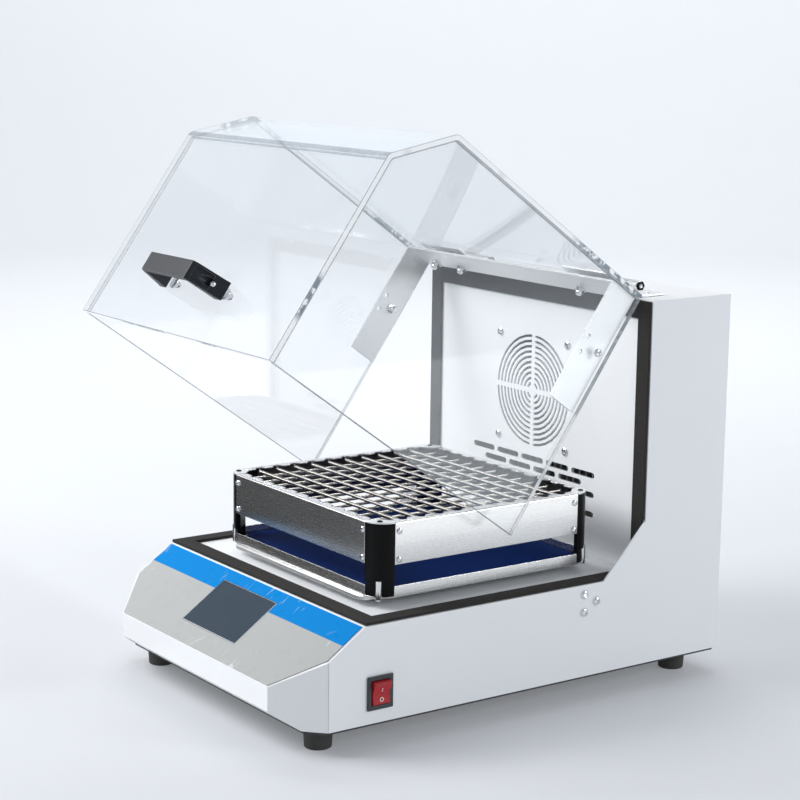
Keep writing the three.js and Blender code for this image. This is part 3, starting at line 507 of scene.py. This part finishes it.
def acorn_nut(radius, height):
    """A domed cap nut on a washer."""
    washer = revolve([(0, 0), (radius * 1.25, 0), (radius * 1.25, height * 0.12), (0, height * 0.12)], 28)
    hexagon = extrude(circle_points(radius, 6), height * 0.12, height * 0.5)
    dome = revolve([(0, height * 0.45), (radius * 0.84, height * 0.5), (radius * 0.8, height * 0.72),
                    (radius * 0.55, height * 0.92), (0, height)], 28)
    whole = bmesh.new()
    for form in (washer, hexagon, dome):
        mesh = bpy.data.meshes.new("nut")
        form.to_mesh(mesh)
        form.free()
        whole.from_mesh(mesh)
        bpy.data.meshes.remove(mesh)
    return whole


def fasteners(name, form, spots, body, material=None, slot="stainless"):
    """Copies of a fastener at (point, direction, turn) spots, as one piece."""
    places = [Matrix.Translation(point) @ facing(direction, turn) for point, direction, turn in spots]
    return add_piece(name, to_mesh(name, copies(form, places)), body, [material or chrome], slot)


def sweep(form, points, radius, sides):
    """A tube of round section along the points, closed at both ends."""
    rings = []
    normal = None
    for i, point in enumerate(points):
        ahead = (points[min(i + 1, len(points) - 1)] - points[max(i - 1, 0)]).normalized()
        if normal is None:
            normal = ahead.orthogonal()
        normal = (normal - ahead * normal.dot(ahead)).normalized()
        across = ahead.cross(normal)
        ring = [
            form.verts.new(point + (normal * math.cos(a) + across * math.sin(a)) * radius)
            for a in (2 * math.pi * k / sides for k in range(sides))
        ]
        rings.append(ring)
    for one, two in zip(rings, rings[1:]):
        for k in range(sides):
            m = (k + 1) % sides
            form.faces.new((one[k], one[m], two[m], two[k]))
    form.faces.new(list(reversed(rings[0])))
    form.faces.new(rings[-1])


# ------------------------------------------------------------------ stage and light
DAYLIGHT = (0.93, 0.96, 1.0)


def add_stage():
    """A round pale floor that curves up into a wall well beyond the camera."""
    flat, bend, wall = 3.6, 1.2, 3.0
    profile = [(0.0, 0.0), (flat, 0.0)]
    for i in range(1, 13):
        angle = math.pi / 2 * i / 12
        profile.append((flat + bend * math.sin(angle), bend * (1 - math.cos(angle))))
    profile.append((flat + bend, bend + wall))
    form = bmesh.new()
    steps = 96
    rings = []
    for radius, height in profile[1:]:
        rings.append([form.verts.new((x, y, height)) for x, y in circle_points(radius, steps)])
    form.faces.new(rings[0])
    for one, two in zip(rings, rings[1:]):
        for i in range(steps):
            form.faces.new((one[i], one[(i + 1) % steps], two[(i + 1) % steps], two[i]))
    mesh = to_mesh("studio_floor", form)
    floor = bpy.data.objects.new("studio_floor", mesh)
    mesh.materials.append(surface("studio_paper", (0.52, 0.535, 0.56), 0.6, grain=120, bump=0.01,
                                  mottle=0.008, Emission_Color=(*DAYLIGHT, 1), Emission_Strength=0.18))
    bpy.context.scene.collection.objects.link(floor)


def add_card(name, centre, normal, width, height, color, glow=0.0):
    """A studio card that only shows in reflections."""
    form = bmesh.new()
    corners = [(-1, -1), (1, -1), (1, 1), (-1, 1)]
    form.faces.new([form.verts.new((u * width / 2, v * height / 2, 0)) for u, v in corners])
    mesh = bpy.data.meshes.new(name)
    form.to_mesh(mesh)
    form.free()
    card = bpy.data.objects.new(name, mesh)
    card.matrix_world = Matrix.Translation(centre) @ facing(normal)
    mesh.materials.append(surface(name, color, 0.9, grain=50, bump=0.0,
                                  Emission_Color=(1, 1, 1, 1), Emission_Strength=glow))
    card.visible_camera = False
    card.visible_diffuse = False
    card.visible_transmission = False
    card.visible_shadow = False
    bpy.context.scene.collection.objects.link(card)


def add_light(name, place, target, power, size, color=(1, 1, 1)):
    """A square area light, its power in watts and its side in metres."""
    data = bpy.data.lights.new(name, "AREA")
    data.energy = power
    data.size = size
    data.color = color
    lamp = bpy.data.objects.new(name, data)
    lamp.matrix_world = Matrix.Translation(place) @ facing(Vector(place) - Vector(target))
    bpy.context.scene.collection.objects.link(lamp)


add_stage()
add_card("dark_card_low", centre=(-1.1, -1.05, 0.012), normal=Z, width=1.9, height=1.8,
         color=(0.004, 0.0045, 0.005))
add_card("dark_card_left", centre=(-1.6, -1.3, 0.45), normal=(1.0, 0.9, 0), width=2.4, height=0.9,
         color=(0.02, 0.022, 0.024))
add_card("bright_card_right", centre=(1.25, 0.8, 0.012), normal=Z, width=0.95, height=1.4,
         color=(0.9, 0.9, 0.9), glow=0.66)
add_light("key", place=(-2.0, -2.0, 2.0), target=(0, 0, 0.25), power=32, size=1.6)
add_light("front", place=(-0.8, -1.2, 1.4), target=(0, 0.05, 0.2), power=23, size=1.0)
add_light("right", place=(2.3, 1.7, 1.2), target=(0, 0, 0.2), power=25, size=0.9, color=(0.95, 0.98, 1.0))
add_light("wall", place=(-1.4, 1.2, 2.8), target=(-3.2, 2.4, 0.6), power=100, size=2.0)

world = bpy.data.worlds.new("studio")
bpy.context.scene.world = world
world.use_nodes = True
world.node_tree.nodes["Background"].inputs["Color"].default_value = (*DAYLIGHT, 1)
world.node_tree.nodes["Background"].inputs["Strength"].default_value = 0.28
bpy.context.scene.view_settings.view_transform = "Standard"


# ------------------------------------------------------------------ CAD nodes with broken edges
OPEN = -math.radians(joints["hood_hinge"]["range_deg"][1])
hinge = Vector(joints["hood_hinge"]["pos_m"])
hood_turn = Matrix.Translation(hinge) @ Matrix.Rotation(OPEN, 4, "X") @ Matrix.Translation(-hinge)
hood_back = hood_turn.to_3x3().inverted()
# The closed hood and its sheet, in millimetres.
HOOD_TOP, HOOD_LOW = 366.0, 113.3
HOOD_FRONT, HOOD_REAR = -161.0, 150.7
HOOD_HALF, ACRYLIC = 166.0, 5.0


def wrap_rim(face):
    """The wrap's side edges, the lower edge of its front wall and the rear edge of its top."""
    turned = hood_back @ face.normal
    centre = hood_turn.inverted() @ face.calc_center_median()
    lower_edge = turned.z < -0.9 and centre.z < HOOD_LOW * MM + 2 * MM
    rear_edge = turned.y > 0.9 and centre.y > HOOD_REAR * MM - 2 * MM
    return abs(turned.x) > 0.9 or lower_edge or rear_edge


def wrap_bend(face):
    """The rounded fold between the hood's front wall and its slope."""
    turned = hood_back @ face.normal
    angle = math.degrees(math.atan2(turned.z, -turned.y)) % 360
    return abs(turned.x) < 0.5 and (2 < angle < 40 or 182 < angle < 220)


def side_rim(face):
    """The thin faces all round a side wall."""
    return abs(face.normal.x) < 0.5


clear_walls = [
    finish_node("hood_wrap", bevel=0.45, segments=1, rim=acrylic_rim_painted_light, is_rim=wrap_rim,
                line=acrylic_line_painted_shade, bend=acrylic_bend_painted_shade, is_bend=wrap_bend)
]
for side in ("left", "right"):
    clear_walls.append(finish_node(f"hood_side_{side}", bevel=0.4, segments=1, faces=acrylic_side,
                                   rim=acrylic_side_rim_painted_light, is_rim=side_rim, line=acrylic_line_painted_shade))
for clear_wall in clear_walls:
    clear_wall.visible_shadow = False

edge_widths = {
    "front_panel": 0.9, "side_panel_left": 0.6, "side_panel_right": 0.6, "back_cover": 0.7,
    "column_front_plate": 0.15, "column_gasket": 0.7, "deck_gasket": 0.7, "panel_overlay": 0.15,
    "tray_mat": 1.2, "tray": 0.3,
    "switch_rocker": 0.7, "drive_plate": 0.6, "fan_impeller": 0.3,
    "control_board": 0.2, "heater": 0.2, "power_inlet": 1.2,
    "corner_post_front_left": 0.7, "corner_post_front_right": 0.7,
    "corner_post_back_left": 0.7, "corner_post_back_right": 0.7,
}


BRACKET_SHEET = 2.1 * MM  # the bracket's sheet with a little to spare


def sheet_edge(face):
    """Whether a face is a strip no wider than the bracket's sheet."""
    around = sum(edge.calc_length() for edge in face.edges)
    return 2 * face.calc_area() / around < BRACKET_SHEET


# Each leg of the handle has a shallow pocket in its outer face and the screw's seat at the pocket's end.
# All in millimetres with the hood closed: the leg's outer face runs from its top to its foot, given from
# the handle's middle on the hood's front wall.
handle_low, handle_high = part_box("hood_handle")
handle_x = (handle_low.x + handle_high.x) / 2 / MM
HANDLE_Z, HANDLE_WIDTH = 162.4, 17.8
LEG_TOP, LEG_FOOT = Vector((41.0, -30.0, 0.0)), Vector((51.0, -5.0, 0.0))
POCKET_DEPTH, POCKET_SHARE, POCKET_WALL = 1.6, 0.66, 1.7
SCREW_OUT, SCREW_SEAT, SEAT_RADIUS = 45.6, 10.0, 3.9


def handle_pockets():
    """The cutters for both legs, in the place of the hood at rest."""
    for end in (-1, 1):
        half = HANDLE_WIDTH / 2 - POCKET_WALL
        slope = (LEG_FOOT - LEG_TOP).normalized()
        outward = Vector((slope.y, -slope.x, 0))
        start, stop = LEG_TOP - slope * 0.8, LEG_TOP + (LEG_FOOT - LEG_TOP) * POCKET_SHARE
        inner, outer = -outward * POCKET_DEPTH, outward * 3
        corners = [start + inner, stop + inner, stop + outer, start + outer]
        plan = [((handle_x + end * p.x) * MM, (HOOD_FRONT + p.y) * MM) for p in corners]
        pocket = extrude(plan, (HANDLE_Z - half) * MM, (HANDLE_Z + half) * MM)
        seat = revolve([(0, 0), (SEAT_RADIUS * MM, 0), (SEAT_RADIUS * MM, 20 * MM), (0, 20 * MM)], 32)
        place = Vector((handle_x + end * SCREW_OUT, HOOD_FRONT - SCREW_SEAT, HANDLE_Z)) * MM
        bmesh.ops.transform(seat, matrix=Matrix.Translation(place) @ facing((0, -1, 0)), verts=seat.verts)
        for form in (pocket, seat):
            bmesh.ops.recalc_face_normals(form, faces=form.faces)
            bmesh.ops.transform(form, matrix=hood_turn, verts=form.verts)
            yield form


finish_node("hood_handle", bevel=0.8, line=handle_edge_painted_highlight, pockets=handle_pockets())
finish_node("hood_bracket", bevel=0.3, rim=aluminium_cut, is_rim=sheet_edge)
finish_node("switch_bezel", bevel=0.6, faces=bezel_plastic)
finish_node("touch_screen", bevel=0.5, line=screen_edge_painted_highlight)
finish_node("base_plate", bevel=0.3, hem=0.8 * MM)
done_elsewhere = ("hood_wrap", "hood_side", "hood_handle", "hood_bracket", "switch_bezel", "touch_screen",
                  "base_plate", "frame_plate", "long_springs", "cross_springs")
for node in sorted(node for node in nodes if not node.startswith(done_elsewhere)):
    finish_node(node, bevel=edge_widths.get(node, 0.4))


# ------------------------------------------------------------------ platform
centre = Vector(joints["platform_pin"]["pos_m"])
PLATE_SHEET = 1.5 * MM
FLANGE = 9.5 * MM
FOLD = 2.2 * MM
NOTCH = 4.8 * MM
NOTCH_SHARE = 0.95  # how deep a notch is for its half width
SPRING_PITCH = 20 * MM
runs_along = {  # where springs meet the plates that run along each axis, from the platform's centre
    "x": [(i - 5.5) * SPRING_PITCH for i in range(12)],
    "y": [(i - 4.5) * SPRING_PITCH for i in range(10)],
}


def folded_plate(node, axis, sign):
    """An upright sheet folded inwards along its top, the fold's free edge scalloped at each spring's hook."""
    low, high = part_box(node)
    along = 0 if axis == "x" else 1
    across = 1 - along
    face = (high if sign > 0 else low)[across]
    start, end = low[along], high[along]
    middle = (start + end) / 2
    count = 220  # steps along the sheet
    form = bmesh.new()
    rows = []
    for i in range(count + 1):
        s = start + (end - start) * i / count
        nearest = min(abs(s - middle - p) for p in runs_along[axis])
        notch = math.sqrt(max(0.0, NOTCH ** 2 - nearest ** 2))
        section = [(FLANGE - NOTCH_SHARE * notch, 0.0), (FLANGE * 0.4, 0.0)]
        for k in range(7):
            angle = math.pi / 2 * k / 6
            section.append((FOLD - FOLD * math.sin(angle), -FOLD + FOLD * math.cos(angle)))
        section += [(0.0, -(high.z - low.z) / 2), (0.0, -(high.z - low.z))]
        row = []
        for depth, drop in section:
            point = [0.0, 0.0, high.z + drop]
            point[along] = s
            point[across] = face - sign * depth
            row.append(form.verts.new(point))
        rows.append(row)
    for one, two in zip(rows, rows[1:]):
        for k in range(len(one) - 1):
            form.faces.new((one[k], two[k], two[k + 1], one[k + 1]))
    form.normal_update()
    # The sheet's outer side is the modelled one, so its thickness goes inwards.
    form.faces.ensure_lookup_table()
    if form.faces[0].normal.z <= 0:
        bmesh.ops.reverse_faces(form, faces=form.faces)
    for face in form.faces:
        face.smooth = True
    mesh = bpy.data.meshes.new(node + "_folded")
    form.to_mesh(mesh)
    form.free()
    # The inner side gets the painted shade steel.
    sides = [look["stainless"], plate_inside_painted_shade]
    plate = add_piece(node + "_folded", mesh, "platform", sides, "stainless", replaces=[node])
    solid = plate.modifiers.new("sheet", "SOLIDIFY")
    solid.thickness = PLATE_SHEET
    solid.offset = -1
    solid.material_offset = 1
    edges = plate.modifiers.new("edges", "BEVEL")
    edges.width = 0.2 * MM
    edges.segments = 2
    edges.limit_method = "ANGLE"
    edges.angle_limit = math.radians(50)


folded_plate("frame_plate_front", "x", -1)
folded_plate("frame_plate_back", "x", 1)
folded_plate("frame_plate_left", "y", -1)
folded_plate("frame_plate_right", "y", 1)

COIL_RADIUS = 1.35 * MM
WIRE = 0.4 * MM
COIL_PITCH = 0.9 * MM
HOOK_RISE = 0.9 * MM
COIL_END, HOOK_END = 9.5 * MM, 4.3 * MM  # how far a coil and its hooks stop short of the plates' outer faces


def coil_path(half, reach):
    """One tension spring's centre line along X: a hook, the close coil and a second hook."""
    steps = 9
    turns = int(2 * half / COIL_PITCH)
    points = []
    for i in range(turns * steps + 1):
        angle = 2 * math.pi * i / steps
        along = -half + COIL_PITCH * i / steps
        points.append(Vector((along, COIL_RADIUS * math.cos(angle), COIL_RADIUS * math.sin(angle))))
    hook = []
    for i in range(1, steps + 1):
        angle = math.pi * i / steps
        along = half + (reach - half) * math.sin(angle / 2)
        hook.append(Vector((along, 0, COIL_RADIUS * math.cos(angle) + HOOK_RISE)))
    mirrored = [Vector((-p.x, p.y, p.z)) for p in reversed(hook)]
    return mirrored + points + hook


def coil_springs(name, node, axis, offsets, half, reach):
    """Coil springs side by side, in the place of one CAD lace."""
    low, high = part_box(node)
    level = (low.z + high.z) / 2
    path = coil_path(half, reach)
    form = bmesh.new()
    for offset in offsets:
        turned = []
        for p in path:
            if axis == "x":
                turned.append(Vector((centre.x + p.x, centre.y + offset + p.y, level + p.z)))
            else:
                turned.append(Vector((centre.x + offset - p.y, centre.y + p.x, level + p.z)))
        sweep(form, turned, WIRE, 5)
    mesh = to_mesh(name, form, sharp=80)
    add_piece(name, mesh, "platform", [look["spring_steel"]], "spring_steel", replaces=[node])


plate_x = (highest("frame_plate_right").x - lowest("frame_plate_left").x) / 2
plate_y = (highest("frame_plate_back").y - lowest("frame_plate_front").y) / 2
for i, half in enumerate(("front", "back")):
    coil_springs(f"coil_springs_{half}", f"long_springs_{half}", "x", runs_along["y"][5 * i:5 * i + 5],
                 plate_x - COIL_END, plate_x - HOOK_END)
for i, third in enumerate(("left", "middle", "right")):
    coil_springs(f"coil_springs_{third}", f"cross_springs_{third}", "y", runs_along["x"][4 * i:4 * i + 4],
                 plate_y - COIL_END, plate_y - HOOK_END)

# Corner caps, rods and plate screws.
corner_radius = 19 * MM
CAP_THICKNESS = 1.5 * MM
CAP_INNER = 8.0 * MM  # how far a cap reaches along each side from its corner's centre
CAP_SCREW_OUT, ROD_OUT = 10 * MM, 12.4 * MM  # from the corner's centre along X and along Y
straight = Vector((plate_x - corner_radius, plate_y - corner_radius, 0))
plate_low, plate_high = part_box("frame_plate_front")


def corner_places():
    for sx in (-1, 1):
        for sy in (-1, 1):
            point = centre + Vector((sx * straight.x, sy * straight.y, 0))
            yield sx, sy, Vector((point.x, point.y, 0))


caps = bmesh.new()
cap_marks = []
rods = []
for sx, sy, corner in corner_places():
    outline = circle_points(corner_radius, 40)[:11] + [(0.0, CAP_INNER), (CAP_INNER, 0.0)]
    flipped = [(corner.x + sx * u, corner.y + sy * v) for u, v in outline]
    cap = extrude(flipped, plate_high.z - CAP_THICKNESS, plate_high.z)
    mesh = bpy.data.meshes.new("cap")
    cap.to_mesh(mesh)
    cap.free()
    caps.from_mesh(mesh)
    bpy.data.meshes.remove(mesh)
    mark = Vector((sx * CAP_SCREW_OUT, sy * CAP_SCREW_OUT, plate_high.z - 0.1 * MM))
    cap_marks.append((corner + mark, Z, 0.3))
    rods.append(Matrix.Translation(corner + Vector((sx * ROD_OUT, sy * ROD_OUT, 0))))
cap_mesh = to_mesh("corner_caps", caps)
add_piece("corner_caps", cap_mesh, "platform", [look["aluminium"]], "stainless", bevel=0.4)
fasteners("corner_cap_screws", socket_head(2.6 * MM, 0.9 * MM), cap_marks, "platform",
          look["black_plastic"], "black_plastic")
tray_low = lowest("tray").z
rod_top = lowest("corner_post_front_left").z + 14 * MM
rod = revolve([(0, tray_low - 2.2 * MM), (2.2 * MM, tray_low - 2.2 * MM), (2.9 * MM, tray_low - 1.2 * MM),
               (2.9 * MM, rod_top), (0, rod_top)], 24)
add_piece("corner_rods", to_mesh("corner_rods", copies(rod, rods)), "platform", [chrome], "stainless")

PLATE_SCREW_HEIGHTS = (4.4 * MM, 30.0 * MM)
SCREW_IN_X, SCREW_IN_Y = 3.6 * MM, 4.6 * MM  # from a plate's end to its screws
plate_spots = []
for rise in PLATE_SCREW_HEIGHTS:
    for sign in (-1, 1):
        for end in (-1, 1):
            along_x = centre.x + end * (straight.x - SCREW_IN_X)
            along_y = centre.y + end * (straight.y - SCREW_IN_Y)
            on_x = Vector((along_x, centre.y + sign * plate_y, plate_low.z + rise))
            on_y = Vector((centre.x + sign * plate_x, along_y, plate_low.z + rise))
            plate_spots += [(on_x, sign * Y, 0.4 * end), (on_y, sign * X, 0.9 * end)]
fasteners("frame_plate_screws", pan_head(2.9 * MM, 1.7 * MM), plate_spots, "platform")


# ------------------------------------------------------------------ hood fittings
def in_hood(x, y, z):
    """A point given in millimetres with the hood closed, where it is with the hood at rest."""
    return hood_turn @ Vector((x * MM, y * MM, z * MM))


def hood_direction(direction):
    """A direction given with the hood closed, as it is with the hood at rest."""
    return hood_turn.to_3x3() @ Vector(direction)


ARM_SCREW = (136.0, 296.0)  # y and z on each side wall
CROSSBAR_SCREWS = (-139.0, -95.0, 91.0, 139.0)  # x along the bracket's crossbar
CROSSBAR_Y = 143.0
NUT_DEPTH = 7.4  # from the hood's outer face through sheet and bracket to the nut
hood_screws, hood_nuts, handle_screws = [], [], []
for sign in (-1, 1):
    y, z = ARM_SCREW
    hood_screws.append((in_hood(sign * HOOD_HALF, y, z), hood_direction((sign, 0, 0)), 0.5))
    hood_nuts.append((in_hood(sign * (HOOD_HALF - NUT_DEPTH), y, z), hood_direction((-sign, 0, 0)), 0.2))
for x in CROSSBAR_SCREWS:
    if abs(x) > 100:  # the inner two have only a nut
        hood_screws.append((in_hood(x, CROSSBAR_Y, HOOD_TOP), hood_direction((0, 0, 1)), 0.3))
    hood_nuts.append((in_hood(x, CROSSBAR_Y, HOOD_TOP - NUT_DEPTH), hood_direction((0, 0, -1)), 0.1))
for end in (-1, 1):
    out = handle_x + end * SCREW_OUT
    handle_screws.append((in_hood(out, HOOD_FRONT - SCREW_SEAT, HANDLE_Z), hood_direction((0, -1, 0)), 0.6))
    hood_nuts.append((in_hood(out, HOOD_FRONT + ACRYLIC, HANDLE_Z), hood_direction((0, 1, 0)), 0.4))
fasteners("handle_screws", pan_head(3.6 * MM, 3.8 * MM), handle_screws, "hood")
fasteners("hood_screws", pan_head(4.0 * MM, 2.2 * MM), hood_screws, "hood")
fasteners("hood_cap_nuts", acorn_nut(4.4 * MM, 7.2 * MM), hood_nuts, "hood")

# All in millimetres. Along X, each hinge's middle, its half length and its screws from its middle.
HINGE_X, HINGE_HALF, HINGE_SCREWS = 113.0, 33.0, (-22.0, 0.0, 22.0)
LEAF_TOP = 2.8  # a leaf's top above the sheet it lies on
LEAF_SCREW_Y = 126.0  # on the closed hood
BASE_SCREW_BACK = 20.0  # behind the hinge's axis
leaf_spots, base_spots, pin_ends = [], [], []
for sign in (-1, 1):
    for dx in HINGE_SCREWS:
        x = sign * HINGE_X + dx
        base_top = highest("back_cover").z + LEAF_TOP * MM
        on_base = Vector((x * MM, hinge.y + BASE_SCREW_BACK * MM, base_top))
        leaf_spots.append((in_hood(x, LEAF_SCREW_Y, HOOD_TOP + LEAF_TOP), hood_direction((0, 0, 1)), 0.2))
        base_spots.append((on_base, Z, 0.5))
    for end in (-1, 1):
        pin_ends.append((Vector(((sign * HINGE_X + end * HINGE_HALF) * MM, hinge.y, hinge.z)), end * X, 0))
fasteners("hinge_leaf_screws", pan_head(2.8 * MM, 1.4 * MM), leaf_spots, "hood")
fasteners("hinge_base_screws", pan_head(2.8 * MM, 1.4 * MM), base_spots, "housing")
collar = carve(extrude(circle_points(4.5 * MM, 6), 0, 1.2 * MM),
               revolve([(0, -MM), (2.3 * MM, -MM), (2.3 * MM, 9 * MM), (0, 9 * MM)], 24))
fasteners("hinge_collars", collar, pin_ends, "housing", look["black_plastic"], "black_plastic")
pin = revolve([(0, 0), (2.2 * MM, 0), (2.2 * MM, 1.2 * MM), (1.5 * MM, 1.9 * MM), (0, 2.1 * MM)], 24)
fasteners("hinge_pin_ends", pin, pin_ends, "housing")


# ------------------------------------------------------------------ housing fittings
SIDE_SCREWS = ((82.2, 101.0), (96.6, 92.8), (82.2, 84.1))  # y and z in millimetres
FAN_SCREW = 52.5 * MM  # from the fan's middle along X and along Z
side_spots = []
for sign, node in ((-1, "side_panel_left"), (1, "side_panel_right")):
    wall = (highest(node) if sign > 0 else lowest(node)).x
    for index, (y, z) in enumerate(SIDE_SCREWS):
        side_spots.append((Vector((wall, y * MM, z * MM)), sign * X, 0.7 * index))
fasteners("side_screws", pan_head(4.1 * MM, 2.4 * MM), side_spots, "housing")

fan_low, fan_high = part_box("fan_frame")
fan_middle = (fan_low + fan_high) / 2
plate_front = lowest("column_front_plate").y
fan_spots = []
for sx in (-1, 1):
    for sz in (-1, 1):
        spot = Vector((fan_middle.x + sx * FAN_SCREW, plate_front, fan_middle.z + sz * FAN_SCREW))
        fan_spots.append((spot, -Y, 0.4 * sx + 0.2 * sz))
fasteners("fan_screws", pan_head(4.3 * MM, 2.3 * MM), fan_spots, "housing")

back_low, back_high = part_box("back_cover")
back_middle = (back_low.z + back_high.z) / 2
back_spots = []
for x in (back_low.x + 10 * MM, 0.0, back_high.x - 10 * MM):
    for z in (back_low.z + 12 * MM, back_middle, back_high.z - 12 * MM):
        if x or z != back_middle:
            back_spots.append((Vector((x, back_high.y, z)), Y, 0.8 + 3 * x))
fasteners("back_screws", pan_head(3.6 * MM, 2.0 * MM), back_spots, "housing")

# The inlet's three flat pins stand in its recess.
inlet_low, inlet_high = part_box("power_inlet")
inlet_middle = (inlet_low + inlet_high) / 2
blade = extrude([(-1 * MM, -2 * MM), (1 * MM, -2 * MM), (1 * MM, 2 * MM), (-1 * MM, 2 * MM)], 0, 13 * MM)
blade_spots = [
    (Vector((inlet_middle.x + dx * MM, inlet_high.y - 22 * MM, inlet_middle.z + dz * MM)), Y, 0)
    for dx, dz in ((-7, -1.5), (0, 2.5), (7, -1.5))
]
fasteners("inlet_pins", blade, blade_spots, "housing")
fasteners("inlet_screws", pan_head(2.6 * MM, 1.2 * MM), [
    (Vector((inlet_middle.x + dx * 19 * MM, inlet_high.y, inlet_middle.z)), Y, 0.3) for dx in (-1, 1)
], "housing")

# The switch's two marks lie one on each half of the rocker, whose face rises from its middle to both ends.
tilt = Matrix.Rotation(math.radians(9), 4, "Y")
rocker_axis = Vector(joints["rocker_tilt"]["pos_m"])
ROCKER_RISE = 2.4 / 9.55  # how steeply each half of the face rises
ROCKER_MIDDLE = 2.22 * MM  # from the pivot to the face's middle, with the ink's clearance


def rocker_mark(name, form, rise):
    """A mark on the rocker's face, the given height above its pivot."""
    slope = math.atan(ROCKER_RISE) * (1 if rise > 0 else -1)
    depth = ROCKER_MIDDLE + abs(rise) * ROCKER_RISE
    outward = Vector((math.cos(slope), 0, -math.sin(slope)))
    place = Matrix.Translation(rocker_axis) @ tilt @ Matrix.Translation((depth, 0, rise)) @ facing(outward)
    add_piece(name, to_mesh(name, copies(form, [place])), "rocker", [white_ink], "rocker_plastic")


INK = 0.12 * MM
zero = carve(extrude(circle_points(2.0 * MM, 28), 0, INK), extrude(circle_points(1.35 * MM, 28), -MM, MM))
rocker_mark("rocker_mark_off", zero, -5.4 * MM)
half_width, half_height = 0.32 * MM, 1.9 * MM
one = extrude([(-half_width, -half_height), (half_width, -half_height),
               (half_width, half_height), (-half_width, half_height)], 0, INK)
rocker_mark("rocker_mark_on", one, 3.4 * MM)
